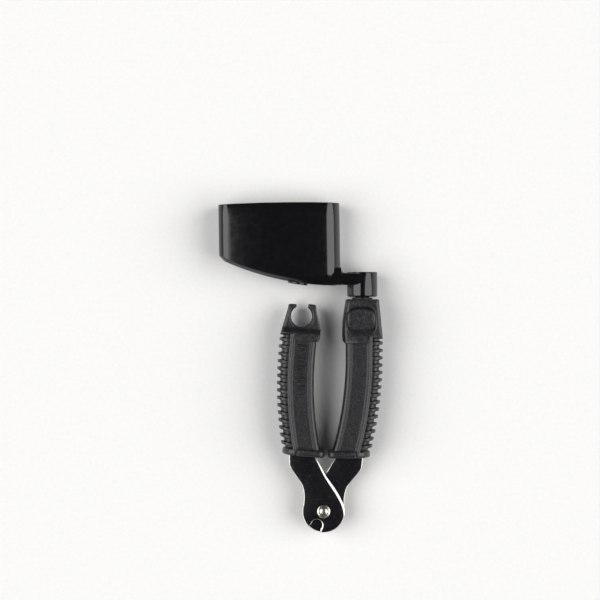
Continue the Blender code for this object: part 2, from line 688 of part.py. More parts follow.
def plate_outline():
    """Right-hand plate: outer edge down to the eye, round it, and up the inner edge."""
    inner, outer = tang_edges(0.0)
    shoulder = (bend_x(PLATE_OUTER, PLATE_SHOULDER_Y), PLATE_SHOULDER_Y)
    inner_shoulder = (bend_x(PLATE_INNER, PLATE_SHOULDER_Y), PLATE_SHOULDER_Y)
    hip = bezier(PLATE_HIP, pulled(PLATE_HIP, PLATE_HIP_PULL),
                 pulled(PLATE_WAIST, PLATE_WAIST_UPPER_PULL), PLATE_WAIST, PLATE_HIP_STEPS)
    outer_leaves = eye_point(PLATE_EYE_LEAVES_DEG)
    inner_leaves = eye_point(180 - PLATE_EYE_LEAVES_DEG)
    waist = bezier(PLATE_WAIST, pulled(PLATE_WAIST, PLATE_WAIST_LOWER_PULL),
                   pulled(outer_leaves, PLATE_OUTER_EYE_PULL), outer_leaves, PLATE_WAIST_STEPS)
    eye = arc_points((0, 0), PLATE_EYE_RADIUS, PLATE_EYE_LEAVES_DEG, -180 - PLATE_EYE_LEAVES_DEG,
                     PLATE_EYE_STEPS)
    flank = bezier(inner_leaves, pulled(inner_leaves, PLATE_INNER_EYE_PULL),
                   pulled(PLATE_CROSSING, PLATE_CROSSING_PULL), PLATE_CROSSING, PLATE_FLANK_STEPS)
    return outer + [shoulder] + hip + waist[1:] + eye[1:] + flank[1:] + [inner_shoulder] + inner


def pulled(point, pull):
    return point[0] + pull[0], point[1] + pull[1]


def eye_point(angle_deg):
    angle = math.radians(angle_deg)
    return (PLATE_EYE_RADIUS * math.cos(angle), PLATE_EYE_RADIUS * math.sin(angle))


def make_plate(name, side, rear, parent):
    low, high = plate_height(rear)
    plate = flat_outline(name, mirrored(plate_outline(), side), low, high, parent)
    hole = turned("pivot_hole", [(0, TOOL_DEPTH), (RIVET_SHANK / 2 + CLEARANCE, TOOL_DEPTH),
                                 (RIVET_SHANK / 2 + CLEARANCE, 0), (0, 0)], parent, steps=24)
    cut(plate, hole)
    cut(plate, make_notch(side, parent))
    return piece(plate, name, "black_oxide")


def make_notch(side, parent):
    """A round string notch that opens through the eye's lower edge."""
    angle = math.radians(-90 + NOTCH_ANGLE_DEG)
    from_pivot = PLATE_EYE_RADIUS - NOTCH_INSET
    centre = (from_pivot * math.cos(angle), from_pivot * math.sin(angle))
    outwards = math.degrees(angle)
    outline = arc_points(centre, NOTCH_RADIUS, outwards + NOTCH_LIP_DEG,
                         outwards + 360 - NOTCH_LIP_DEG, NOTCH_STEPS)
    far = NOTCH_INSET + CUT_MARGIN
    for turn in (-NOTCH_MOUTH_DEG, NOTCH_MOUTH_DEG):
        reach = far / math.cos(math.radians(turn))
        spread = math.radians(outwards + turn)
        outline.append((centre[0] + reach * math.cos(spread), centre[1] + reach * math.sin(spread)))
    return flat_outline("notch", mirrored(outline, side), 0.0, TOOL_DEPTH, parent)


# -------------------------------------------------------------- pivot rivet

def make_rivet(parent):
    """Shank with a domed, grooved head in front and a clenched tail behind."""
    front = MID_HEIGHT + CLEARANCE * 1.5 + PLATE_THICKNESS
    rear = MID_HEIGHT - CLEARANCE * 1.5 - PLATE_THICKNESS
    behind = rear - WASHER_THICKNESS - CLEARANCE
    head = RIVET_SHANK / 2 + RIVET_HEAD_LIP
    tail = RIVET_SHANK / 2 + RIVET_TAIL_LIP
    profile = [(0, front + RIVET_HEAD_HEIGHT)]
    profile += [(head * out, front + RIVET_HEAD_HEIGHT * up) for out, up in RIVET_CROWN]
    profile += [(head, front), (RIVET_SHANK / 2, front), (RIVET_SHANK / 2, behind), (tail, behind)]
    profile += [(tail * out, behind - RIVET_TAIL_HEIGHT * down) for out, down in RIVET_CLENCH]
    profile.append((0, behind - RIVET_TAIL_HEIGHT))
    return piece(turned("rivet", profile, parent), "pivot_rivet", "bright_steel")


def make_rivet_washer(parent):
    top = MID_HEIGHT - CLEARANCE * 1.5 - PLATE_THICKNESS
    bottom = top - WASHER_THICKNESS
    inner = RIVET_SHANK / 2 + CLEARANCE
    outer = RIVET_SHANK / 2 + WASHER_LIP
    profile = [(inner, top), (outer, top), (outer, bottom), (inner, bottom)]
    return piece(turned("washer", profile, parent), "rivet_washer", "bright_steel")


# ------------------------------------------------------- swivel and winder

def make_bush(parent):
    """Flanged bush: the flange sits in the block as the neck, the sleeve carries the hub."""
    flange = NECK_DIAMETER / 2
    sleeve = BUSH_DIAMETER / 2
    bore = PIN_DIAMETER / 2 + CLEARANCE
    flange_top = HUB_LOW_Y - CLEARANCE
    flange_low = BLOCK_TOP_Y - BUSH_SEAT_DEPTH
    top = HUB_FLOOR_Y
    profile = [(bore, top), (sleeve, top), (sleeve, flange_top), (flange, flange_top),
               (flange, flange_low), (bore, flange_low)]
    return piece(turned("bush", profile, parent, along_y=True), "swivel_bush", "neck_black")


def make_pin(parent):
    shaft = PIN_DIAMETER / 2
    head = PIN_HEAD / 2
    under = HUB_FLOOR_Y + CLEARANCE
    top = under + PIN_HEAD_THICKNESS
    foot = BLOCK_TOP_Y - PIN_DEPTH
    profile = [(0, top), (head - PIN_HEAD_EDGE, top), (head, top - PIN_HEAD_EDGE), (head, under),
               (shaft, under), (shaft, foot + PIN_FOOT_EDGE), (shaft - PIN_FOOT_EDGE, foot), (0, foot)]
    return piece(turned("pin", profile, parent, along_y=True), "swivel_pin", "pin_steel")


def make_hub_cap(parent):
    """Press-in lid over the pin's head, with a shallow dish in its top."""
    outer = CAP_DIAMETER / 2
    low = HUB_FLOOR_Y + PIN_HEAD_THICKNESS + 2 * CLEARANCE
    top = low + CAP_THICKNESS
    out, down = CAP_DISH_FLOOR
    profile = [(0, top - CAP_DISH), (outer * out, top - CAP_DISH * down), (outer * CAP_DISH_RIM, top),
               (outer, top), (outer, low), (0, low)]
    return piece(turned("cap", profile, parent, along_y=True), "hub_cap", "gloss_black")


def make_hub(parent):
    outer = HUB_DIAMETER / 2
    profile = [(0, HUB_TOP_Y), (outer - HUB_EDGE / 2, HUB_TOP_Y), (outer, HUB_TOP_Y - HUB_EDGE / 2),
               (outer, HUB_LOW_Y + HUB_EDGE), (outer - HUB_EDGE * 0.3, HUB_LOW_Y + HUB_EDGE * 0.3),
               (outer - HUB_EDGE, HUB_LOW_Y), (0, HUB_LOW_Y)]
    return turned("hub", profile, parent, steps=48, along_y=True)


def make_hub_bore(parent):
    bore = BUSH_DIAMETER / 2 + CLEARANCE
    seat = CAP_DIAMETER / 2 + CLEARANCE
    profile = [(0, HUB_TOP_Y + CUT_MARGIN), (seat, HUB_TOP_Y + CUT_MARGIN), (seat, HUB_FLOOR_Y),
               (bore, HUB_FLOOR_Y), (bore, HUB_LOW_Y - CUT_MARGIN), (0, HUB_LOW_Y - CUT_MARGIN)]
    return turned("hub_bore", profile, parent, along_y=True)


def cup_face():
    """The bulged face: its middle, its radius, and how high its two ends are."""
    tilt = math.sin(math.radians(CUP_FACE_TILT_DEG))
    left = CUP_LEFT_X + CUP_FREE_CORNER * (1 - tilt)
    right = CUP_RIGHT_X - CUP_CRANK_CORNER * (1 - tilt)
    radius = (right - left) / 2 / tilt
    end_height = TOOL_DEPTH / 2 - radius * (1 - math.cos(math.radians(CUP_FACE_TILT_DEG)))
    return (left + right) / 2, radius, end_height


def cup_corner_centre(side_x, corner, end_height):
    """Centre of a corner of this radius, which ends at a side of the cup."""
    out = math.copysign(corner, side_x - CUP_MIDDLE_X)
    return side_x - out, end_height - corner * math.cos(math.radians(CUP_FACE_TILT_DEG))


def cup_chain(inset):
    """Front half of the cup's plan, left to right, as (x, height over mid).

    Each end has a round corner, and the wide face between them bulges gently.
    """
    middle, radius, end_height = cup_face()
    left = cup_corner_centre(CUP_LEFT_X, CUP_FREE_CORNER, end_height)
    right = cup_corner_centre(CUP_RIGHT_X, CUP_CRANK_CORNER, end_height)
    face_start = 90 + CUP_FACE_TILT_DEG
    face_end = 90 - CUP_FACE_TILT_DEG
    chain = arc_points(left, CUP_FREE_CORNER - inset, 180, face_start, CUP_CORNER_STEPS)
    face = arc_points((middle, TOOL_DEPTH / 2 - radius), radius - inset, face_start, face_end, CUP_FACE_STEPS)
    chain += face[1:-1]
    chain += arc_points(right, CUP_CRANK_CORNER - inset, face_end, 0, CUP_CORNER_STEPS)
    return chain


def cup_bottom(x):
    return CUP_LOW_Y + CUP_BOTTOM_RADIUS - math.sqrt(CUP_BOTTOM_RADIUS ** 2 - (x - CUP_LOW_X) ** 2)


def cup_rim(x):
    return CUP_RIM_Y - CUP_RIM_RADIUS + math.sqrt(CUP_RIM_RADIUS ** 2 - (x - CUP_MIDDLE_X) ** 2)


def lean(x, y):
    """Lean the cup about its lower right corner."""
    angle = math.radians(CUP_LEAN_DEG)
    out = x - CUP_RIGHT_X
    up = y - ARM_TOP_Y
    return (CUP_RIGHT_X + out * math.cos(angle) - up * math.sin(angle),
            ARM_TOP_Y + out * math.sin(angle) + up * math.cos(angle))


def cup_ring(inset, height_at):
    """A ring round the cup, front then back, at a height that depends on x."""
    chain = cup_chain(inset)
    ring = []
    for sign, row in ((1, chain), (-1, chain[::-1])):
        for x, height in row:
            leaned_x, leaned_y = lean(x, height_at(x))
            ring.append((leaned_x, leaned_y, MID_HEIGHT + sign * height))
    return ring


def cup_loft(name, rings, parent):
    """Skin a row of cup rings, and close both ends with strips from front to back."""
    shape = bmesh.new()
    rows = [[shape.verts.new(point) for point in ring] for ring in rings]
    count = len(rows[0])
    for lower, upper in zip(rows, rows[1:]):
        for i in range(count):
            j = (i + 1) % count
            shape.faces.new((lower[i], lower[j], upper[j], upper[i]))
    for row in (rows[0], rows[-1]):
        for i in range(count // 2 - 1):
            shape.faces.new((row[i], row[i + 1], row[count - 2 - i], row[count - 1 - i]))
    mesh = bpy.data.meshes.new(name)
    shape.to_mesh(mesh)
    shape.free()
    return as_object(name, clean(mesh), parent)


def make_cup_body(parent):
    """The cup's outside, still solid: up from the rounded bottom edge to the rim."""
    rings = []
    for step in range(CUP_EDGE_STEPS + 1):
        angle = math.pi / 2 * step / CUP_EDGE_STEPS
        inset = CUP_BOTTOM_EDGE * (1 - math.sin(angle))
        lift = CUP_BOTTOM_EDGE * (1 - math.cos(angle))
        rings.append(cup_ring(inset, lambda x, lift=lift: cup_bottom(x) + lift))
    rings.append(cup_ring(0.0, cup_rim))
    return cup_loft("cup", rings, parent)


def make_cup_cavity(parent):
    """The cup's inside, from its chamfered floor out past the rim."""
    rings = [
        cup_ring(CUP_WALL + CUP_BOTTOM_EDGE, lambda x: cup_bottom(x) + CUP_WALL),
        cup_ring(CUP_WALL, lambda x: cup_bottom(x) + CUP_WALL + CUP_BOTTOM_EDGE),
        cup_ring(CUP_WALL, lambda x: cup_rim(x) + CUT_MARGIN),
    ]
    return cup_loft("cup_cavity", rings, parent)


def make_bar(name, end_x, low_y, high_y, thickness, parent):
    """A bar from inside the cup's corner out to end_x."""
    start = CUP_RIGHT_X - CUP_CRANK_CORNER
    outline = [(start, low_y), (end_x, low_y), (end_x, high_y), (start, high_y)]
    return flat_outline(name, outline, MID_HEIGHT - thickness / 2, MID_HEIGHT + thickness / 2, parent)


def make_arm(parent):
    """The crank arm, as deep as the hub, with a web that runs up the cup's side."""
    arm = make_bar("arm", SWIVEL_X, ARM_LOW_Y, ARM_TOP_Y, ARM_THICKNESS, parent)
    web = make_bar("arm_web", CUP_RIGHT_X + WEB_REACH, ARM_TOP_Y - 2 * ARM_EDGE, ARM_TOP_Y + WEB_RISE,
                   ARM_THICKNESS - 2 * WEB_INSET, parent)
    return rounded(arm, ARM_EDGE), web


def make_boss(parent):
    """Round boss under the cup, square to the curved bottom where it stands."""
    slope = (BOSS_X - CUP_LOW_X) / CUP_BOTTOM_RADIUS
    radius = BOSS_DIAMETER / 2
    inside = CUP_WALL / 2
    profile = [(0, inside), (radius, inside), (radius, -BOSS_HEIGHT + BOSS_EDGE),
               (radius - BOSS_EDGE, -BOSS_HEIGHT), (0, -BOSS_HEIGHT)]
    boss = turned("boss", profile, parent, steps=24, along_y=True)
    x, y = lean(BOSS_X, cup_bottom(BOSS_X))
    boss.location = (x, y, MID_HEIGHT)
    boss.rotation_euler = (-math.pi / 2, 0.0, math.asin(slope) + math.radians(CUP_LEAN_DEG))
    return boss


def make_winder_head(crank):
    """Cup, arm, hub and boss are one moulding that turns on the crank's axis."""
    to_crank = Vector((-SWIVEL_X, 0.0, -MID_HEIGHT))
    head = make_cup_body(crank)
    cavity = make_cup_cavity(crank)
    arm, web = make_arm(crank)
    for operand in (head, cavity, arm, web):
        operand.data.transform(Matrix.Translation(to_crank))
    boss = make_boss(crank)
    boss.location = boss.location + to_crank
    for operand in (arm, web, make_hub(crank), boss):
        join(head, operand)
    for cutter in (cavity, make_hub_bore(crank)):
        cut(head, cutter)
    return piece(head, "winder_head", "gloss_black")


# ---------------------------------------------------------------- assembly

def box_of(things):
    """World box of the evaluated pieces."""
    graph = bpy.context.evaluated_depsgraph_get()
    corners = []
    for thing in things:
        evaluated = thing.evaluated_get(graph)
        corners += [evaluated.matrix_world @ Vector(corner) for corner in evaluated.bound_box]
    low = Vector([min(corner[i] for corner in corners) for i in range(3)])
    high = Vector([max(corner[i] for corner in corners) for i in range(3)])
    return low, high


def build():
    tool = new_empty("tool_frame", None, (0, 0, 0))
    cutter_axis = new_empty("cutter_axis", tool, (0, 0, 0), math.radians(-HANDLE_SPREAD_DEG))
    crank_axis = new_empty("crank_axis", tool, (SWIVEL_X, 0, MID_HEIGHT))
    things = [
        make_right_handle(tool),
        make_plate("rear_cutter_plate", 1, True, tool),
        make_rivet(tool),
        make_rivet_washer(tool),
        make_left_handle(cutter_axis),
        make_plate("front_cutter_plate", -1, False, cutter_axis),
        make_bush(crank_axis),
        make_pin(crank_axis),
        make_winder_head(crank_axis),
        make_hub_cap(crank_axis),
    ]
    bpy.context.view_layer.update()
    low, high = box_of(things)
    tool.location = (-(low.x + high.x) / 2, -(low.y + high.y) / 2, -low.z)
    bpy.context.view_layer.update()


clear_scene()
parts = new_collection("string_winder")
cutters = new_collection("string_winder_cutters")
build()
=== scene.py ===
import math

import bmesh
import bpy
from mathutils import Matrix, Vector


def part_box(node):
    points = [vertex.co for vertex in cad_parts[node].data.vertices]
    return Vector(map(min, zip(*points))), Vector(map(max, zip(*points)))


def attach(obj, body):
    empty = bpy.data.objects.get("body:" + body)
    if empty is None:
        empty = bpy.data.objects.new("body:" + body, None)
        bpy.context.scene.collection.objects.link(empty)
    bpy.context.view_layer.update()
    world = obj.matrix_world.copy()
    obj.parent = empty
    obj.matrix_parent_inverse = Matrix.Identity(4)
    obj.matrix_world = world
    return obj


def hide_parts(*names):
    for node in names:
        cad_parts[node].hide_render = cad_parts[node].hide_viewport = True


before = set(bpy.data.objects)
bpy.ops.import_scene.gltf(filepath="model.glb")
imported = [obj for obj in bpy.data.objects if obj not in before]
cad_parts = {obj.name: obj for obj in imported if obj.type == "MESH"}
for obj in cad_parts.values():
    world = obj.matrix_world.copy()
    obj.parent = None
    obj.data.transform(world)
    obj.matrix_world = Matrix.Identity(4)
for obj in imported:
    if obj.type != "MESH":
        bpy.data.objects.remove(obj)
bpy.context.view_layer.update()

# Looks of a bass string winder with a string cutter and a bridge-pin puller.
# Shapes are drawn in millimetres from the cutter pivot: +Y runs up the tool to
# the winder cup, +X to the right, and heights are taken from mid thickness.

MM = 0.001


def middle_of(node):
    low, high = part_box(node)
    return (low + high) / 2


PIVOT = middle_of("pivot_rivet")
PIVOT.z = middle_of("swivel_pin").z
SWIVEL_X = (middle_of("swivel_pin").x - PIVOT.x) / MM

# Handles
SPREAD_DEG = 5.0
HALF_DEPTH = 9.0
SPINE_X = 20.9
BEND_START_Y = 79.0
BEND_RADIUS = 182.0
INNER_SIDE = -9.5
INNER_ROUND = 2.1             # rounding of the handle's inner edge
RAIL_CROWN = 0.3
PANEL_HEIGHT = 8.2
GRIP_START = 4.1
RIB_REACH = 5.4
RIB_HEIGHT = 8.6
RIB_PITCH = 3.77
RIB_COUNT = 15
RIB_TILT_DEG = (3.0, 9.0)     # of the top rib and of the bottom one
RIB_TOP_Y = 86.5
GROOVE_REACH = 3.7
RIB_THICKNESS = 1.7
RIB_SQUARENESS = 2.8
# How far a rib reaches out, from its middle (0) to half way to the next (0.5)
RIB_TIP = ((0.0, 1.0), (0.15, 1.0), (0.2, 0.85), (0.26, 0.3), (0.32, 0.0), (0.5, 0.0))
GROOVE_HEIGHT = 5.0
GUARD_LOW_Y = 27.6
GUARD_TOP_Y = 31.4
GUARD_HEIGHT = 10.5
GUARD_INNER_X = 2.15
GUARD_CORNER = 3.0
GUARD_ROUNDING = (1.5, 1.25)
COLLAR_LOW_Y = 86.3
COLLAR_HEIGHT = 9.25
COLLAR_INNER_X = 9.5
COLLAR_OUTER_X = 30.2
COLLAR_OUTER_LOW_Y = 88.7
COLLAR_RAIL_LOW_Y = 85.6
COLLAR_RAIL_RISE = 0.42
COLLAR_RAIL_FALL = 0.5        # at each of its ends
RIGHT_RAIL_TOP_Y = 90.2
LEFT_RAIL_TOP_Y = 90.1
# Roundings of edges are (width, depth)
HEEL_ROUNDING = (0.45, 0.4)
BLOCK_TOP_Y = 109.0
BLOCK_TOP_WIDTH = 16.9
BLOCK_CORNER = 0.9
BLOCK_TOP_ROUNDING = (0.7, 0.6)
BLOCK_INNER_ROUNDING = (2.1, 4.8)
BLOCK_OUTER_ROUNDING = (2.1, 1.0)
DIMPLE_DEPTH = 2.3
DIMPLE_LIP_DEPTH = 0.26
# Rounded squares down the dimple: centre, half width, half height, squareness
DIMPLE_LIP = ((19.3, 97.85), 8.0, 7.65, 3.0)
DIMPLE_EDGE = ((19.3, 97.85), 7.5, 7.2, 3.0)
DIMPLE_FLOOR = ((19.3, 98.75), 7.05, 4.9, 2.8)
CLAW_STEP_LOW_Y = 90.0
CLAW_STEP_TOP_Y = 92.9
CLAW_HEIGHT = 5.5
BORE = (20.1, 98.9)
BORE_RADIUS = 5.4
CLAW_MOUTH = 6.0
HORN_WIDTH = 4.3
INNER_HORN_RISE = 0.6
BORE_ROUNDING = (1.0, 2.9)
HORN_ROUNDING = (0.6, 1.3)
CLAW_INNER_ROUNDING = (0.8, 0.9)
CLAW_LIP_Y = BORE[1] + math.sqrt(BORE_RADIUS ** 2 - CLAW_MOUTH ** 2 / 4)
CLAW_TOP_Y = CLAW_LIP_Y + 1.4

# Raised bars in the left panel
BAR_COUNT = 13
BAR_PITCH = 2.05
BAR_TOP_Y = 84.0
BAR_OFFSET = -2.7             # of their middles, from the handle's spine
BAR_REACHES = (2.7, 1.6, 1.6, 2.7, 2.1)
BAR_HALF_WIDTH = 0.5
BAR_RISE = 0.65
BAR_ROUNDING = (0.35, 0.5)

# Cutter plates
PLATE_NEAR = 0.15
PLATE_FAR = 2.15
PIVOT_HOLE = 2.3
REAR_BEVEL = 0.4
FRONT_BEVEL = 1.35
EYE_RADIUS = 10.8
SHOULDER_Y = 27.0
WAIST = (12.2, 12.6)
CROSSING = (0.4, 18.3)
HIP = (19.5, 22.0)
NOTCH_RADIUS = 2.9
NOTCH_FROM_PIVOT = 7.8
NOTCH_TURN_DEG = -67.7
NOTCH_MOUTH_DEG = 19.0

# Winder head
HUB_RADIUS = 7.8
HUB_LOW_Y = 110.2
HUB_TOP_Y = 123.0
CAP_RADIUS = 5.5
NECK_RADIUS = 5.3
CLEARANCE = 0.3
BUSH_BORE = 2.8
BUSH_RADIUS = 3.7
BUSH_SEAT = 1.7               # how deep its flange sits in the block
HUB_BORE = 4.0
HUB_WEB = 9.3                 # how much of the hub turns on the bush
HUB_ROLL = 0.9                # radius of its lower edge
CAP_RECESS = 0.3
CAP_THICKNESS = 1.1
CAP_DISH = 0.42
ARM_LOW_Y = 116.3
ARM_TOP_Y = 122.6
ARM_HALF_DEPTH = 7.75
ARM_WEB_RISE = 2.9
ARM_EDGE = 1.3
# Along the arm: how far past the cup's side (None at each end), and share of the web's rise
ARM_WEB = ((None, 1.0), (0.25, 0.95), (0.45, 0.35), (0.9, 0.12), (1.8, 0.0), (2.6, 0.0), (None, 0.0))
CUP_RIGHT_X = SWIVEL_X - 11.2
CUP_WIDTH = 62.2
CUP_MIDDLE_X = CUP_RIGHT_X - CUP_WIDTH / 2
CUP_HALF_DEPTH = 10.5
CUP_WALL = 2.2
CUP_FREE_CORNER = 5.5
CUP_CRANK_CORNER = 8.0
CUP_TILT_DEG = 6.0
CUP_LOW_Y = 116.0
CUP_RIM_Y = 159.0
CUP_RIM_RADIUS = 811.0
CUP_BOTTOM_RADIUS = 145.2
CUP_BOTTOM_EDGE = 2.3
CUP_INNER_ROUND = 1.5
CUP_LOW_X = CUP_RIGHT_X + 1.35
CUP_LEAN_DEG = 0.9
BOSS_X = -13.4
BOSS_RADIUS = 5.15

SMOOTH_ANGLE = math.radians(38)


# ------------------------------------------------------------------ colours

def linear(hex_colour):
    """An sRGB hex colour as the linear colour that a shader takes."""
    channels = [int(hex_colour[i:i + 2], 16) / 255 for i in (1, 3, 5)]
    return (*(c / 12.92 if c <= 0.04045 else ((c + 0.055) / 1.055) ** 2.4 for c in channels), 1.0)


def add(tree, kind, inputs=(), links=(), **settings):
    """One node: its settings, the values on its sockets, and what feeds them."""
    node = tree.nodes.new(kind)
    for key, value in settings.items():
        setattr(node, key, value)
    for socket, value in dict(inputs).items():
        node.inputs[socket].default_value = value
    for socket, source in dict(links).items():
        tree.links.new(source, node.inputs[socket])
    return node


def new_finish(name):
    """An empty material, and its own coordinates in millimetres."""
    finish = bpy.data.materials.new(name)
    finish.use_nodes = True
    tree = finish.node_tree
    tree.nodes.clear()
    place = add(tree, "ShaderNodeTexCoord").outputs["Object"]
    size = add(tree, "ShaderNodeVectorMath", {1: (1 / MM, 1 / MM, 1 / MM)}, {0: place}, operation="MULTIPLY")
    return finish, tree, size.outputs["Vector"]


def finish_off(tree, shader):
    add(tree, "ShaderNodeOutputMaterial", links={"Surface": shader.outputs["BSDF"]})


def textured_nylon():
    """Glass-filled nylon moulded against a spark-eroded cavity: an even dark grey
    with a fine matt grain, and a faint cloudiness where the fibre lies near the skin."""
    finish, tree, at = new_finish("textured_nylon")
    # The real grain is about 0.15 mm. It is drawn at 0.6 mm, so that it shows.
    grain = add(tree, "ShaderNodeTexNoise", {"Scale": 1.7, "Detail": 3.0, "Roughness": 0.6}, {"Vector": at})
    cloud = add(tree, "ShaderNodeTexNoise", {"Scale": 0.16, "Detail": 3.0}, {"Vector": at})
    skin = add(tree, "ShaderNodeMix", {6: linear("#0d0c0e"), 7: linear("#171618")},
               {0: cloud.outputs["Fac"]}, data_type="RGBA")
    flecks = add(tree, "ShaderNodeMapRange",
                 {"From Min": 0.51, "From Max": 0.66, "To Min": 0.0, "To Max": 0.8},
                 {"Value": grain.outputs["Fac"]})
    colour = add(tree, "ShaderNodeMix", {7: linear("#454346")},
                 {0: flecks.outputs["Result"], 6: skin.outputs[2]}, data_type="RGBA")
    matt = add(tree, "ShaderNodeMapRange", {"From Min": 0.3, "From Max": 0.7, "To Min": 0.28, "To Max": 0.43},
               {"Value": grain.outputs["Fac"]})
    relief = add(tree, "ShaderNodeBump",
                 {"Strength": 0.8, "Distance": 0.06 * MM}, {"Height": grain.outputs["Fac"]})
    shader = add(tree, "ShaderNodeBsdfPrincipled", {"IOR": 1.53, "Specular IOR Level": 0.5},
                 {"Base Color": colour.outputs[2], "Roughness": matt.outputs["Result"],
                  "Normal": relief.outputs["Normal"]})
    finish_off(tree, shader)
    return finish


def polished_abs():
    """ABS from a polished mould: deep black and glossy, with the slow waviness of
    a moulded wall and a trace of handling haze."""
    finish, tree, at = new_finish("polished_abs")
    # Sink and flow waves are 10 to 20 mm long.
    waves = add(tree, "ShaderNodeTexNoise", {"Scale": 0.07, "Detail": 1.0}, {"Vector": at})
    haze = add(tree, "ShaderNodeTexNoise", {"Scale": 0.35, "Detail": 5.0, "Roughness": 0.65}, {"Vector": at})
    gloss = add(tree, "ShaderNodeMapRange",
                {"From Min": 0.35, "From Max": 0.7, "To Min": 0.11, "To Max": 0.18},
                {"Value": haze.outputs["Fac"]})
    colour = add(tree, "ShaderNodeMix", {6: linear("#09090b"), 7: linear("#111113")},
                 {0: haze.outputs["Fac"]}, data_type="RGBA")
    relief = add(tree, "ShaderNodeBump",
                 {"Strength": 0.12, "Distance": 0.4 * MM}, {"Height": waves.outputs["Fac"]})
    shader = add(tree, "ShaderNodeBsdfPrincipled", {"IOR": 1.54},
                 {"Base Color": colour.outputs[2], "Roughness": gloss.outputs["Result"],
                  "Normal": relief.outputs["Normal"]})
    finish_off(tree, shader)
    return finish


def turned_acetal():
    """Black acetal bush, turned: dull satin with fine rings left by the tool."""
    finish, tree, at = new_finish("turned_acetal")
    # The tool's feed is 0.3 mm a turn.
    rings = add(tree, "ShaderNodeTexWave", {"Scale": 1.0, "Distortion": 0.4, "Detail": 2.0}, {"Vector": at},
                wave_type="BANDS", bands_direction="Y")
    satin = add(tree, "ShaderNodeMapRange", {"To Min": 0.34, "To Max": 0.5}, {"Value": rings.outputs["Fac"]})
    colour = add(tree, "ShaderNodeMix", {6: linear("#0a0a0b"), 7: linear("#151516")},
                 {0: rings.outputs["Fac"]}, data_type="RGBA")
    shader = add(tree, "ShaderNodeBsdfPrincipled", {"IOR": 1.48},
                 {"Base Color": colour.outputs[2], "Roughness": satin.outputs["Result"]})
    finish_off(tree, shader)
    return finish


def blackened_steel():
    """Stamped carbon steel, tumbled, for the cutter plates' faces: painted nearly black as painted shade
    for the dark room their polished faces mirror, with a dull oily gloss, small pits and a few fine lighter
    scuffs."""
    finish, tree, at = new_finish("blackened_steel")
    cloud = add(tree, "ShaderNodeTexNoise", {"Scale": 0.3, "Detail": 5.0, "Roughness": 0.6}, {"Vector": at})
    # Tumbling leaves pits of about 0.3 mm.
    pits = add(tree, "ShaderNodeTexNoise", {"Scale": 2.6, "Detail": 4.0, "Roughness": 0.7}, {"Vector": at})
    along = add(tree, "ShaderNodeMapping",
                {"Rotation": (0.0, 0.0, 0.9), "Scale": (0.6, 2.2, 1.0)}, {"Vector": at})
    scuffs = add(tree, "ShaderNodeTexNoise", {"Scale": 1.0, "Detail": 4.0, "Roughness": 0.75},
                 {"Vector": along.outputs["Vector"]})
    # Painted shade: the faces' near-black colour stands in for the dark room their polish mirrors; the
    # lighter scuffs are wear.
    black = add(tree, "ShaderNodeMix", {6: linear("#1c1b1e"), 7: linear("#303034")},
                {0: cloud.outputs["Fac"]}, data_type="RGBA")
    bare = add(tree, "ShaderNodeMapRange",
               {"From Min": 0.58, "From Max": 0.76, "To Min": 0.0, "To Max": 0.35},
               {"Value": scuffs.outputs["Fac"]})
    colour = add(tree, "ShaderNodeMix", {7: linear("#8b8a88")},
                 {0: bare.outputs["Result"], 6: black.outputs[2]}, data_type="RGBA")
    gloss = add(tree, "ShaderNodeMapRange", {"From Min": 0.3, "From Max": 0.7, "To Min": 0.2, "To Max": 0.5},
                {"Value": pits.outputs["Fac"]})
    relief = add(tree, "ShaderNodeBump",
                 {"Strength": 0.7, "Distance": 0.05 * MM}, {"Height": pits.outputs["Fac"]})
    shader = add(tree, "ShaderNodeBsdfPrincipled", {"Metallic": 1.0},
                 {"Base Color": colour.outputs[2], "Roughness": gloss.outputs["Result"],
                  "Normal": relief.outputs["Normal"]})
    finish_off(tree, shader)
    return finish


def steel_painted_highlight():
    """Painted highlight for the plates' rounded edges: steel coloured near white where the bevels
    catch the side lights, with fine straight grit lines across the bevel."""
    finish, tree, at = new_finish("steel_painted_highlight")
    # A 120 grit wheel leaves lines about 0.1 mm apart. They are drawn at 0.3 mm.
    across = add(tree, "ShaderNodeMapping",
                 {"Rotation": (0.0, 0.0, 0.5), "Scale": (0.4, 3.3, 0.4)}, {"Vector": at})
    lines = add(tree, "ShaderNodeTexNoise", {"Scale": 1.0, "Detail": 3.0, "Roughness": 0.7},
                {"Vector": across.outputs["Vector"]})
    # Painted highlight: near-white colour where the bevels catch the side lights.
    colour = add(tree, "ShaderNodeMix", {6: linear("#cfcbc3"), 7: linear("#f4f1ea")},
                 {0: lines.outputs["Fac"]}, data_type="RGBA")
    satin = add(tree, "ShaderNodeMapRange", {"To Min": 0.22, "To Max": 0.42}, {"Value": lines.outputs["Fac"]})
    relief = add(tree, "ShaderNodeBump",
                 {"Strength": 0.2, "Distance": 0.02 * MM}, {"Height": lines.outputs["Fac"]})
    shader = add(tree, "ShaderNodeBsdfPrincipled", {"Metallic": 1.0},
                 {"Base Color": colour.outputs[2], "Roughness": satin.outputs["Result"],
                  "Normal": relief.outputs["Normal"]})
    finish_off(tree, shader)
    return finish


def nickelled_steel(name, bright, dull):
    """Nickel-plated steel, turned then plated: a warm bright metal with soft tarnish."""
    finish, tree, at = new_finish(name)
    tarnish = add(tree, "ShaderNodeTexNoise", {"Scale": 0.9, "Detail": 5.0, "Roughness": 0.6}, {"Vector": at})
    colour = add(tree, "ShaderNodeMix", {6: linear(dull), 7: linear(bright)},
                 {0: tarnish.outputs["Fac"]}, data_type="RGBA")
    gloss = add(tree, "ShaderNodeMapRange", {"From Min": 0.3, "From Max": 0.7, "To Min": 0.2, "To Max": 0.32},
                {"Value": tarnish.outputs["Fac"]})
    shader = add(tree, "ShaderNodeBsdfPrincipled", {"Metallic": 1.0},
                 {"Base Color": colour.outputs[2], "Roughness": gloss.outputs["Result"]})
    finish_off(tree, shader)
    return finish


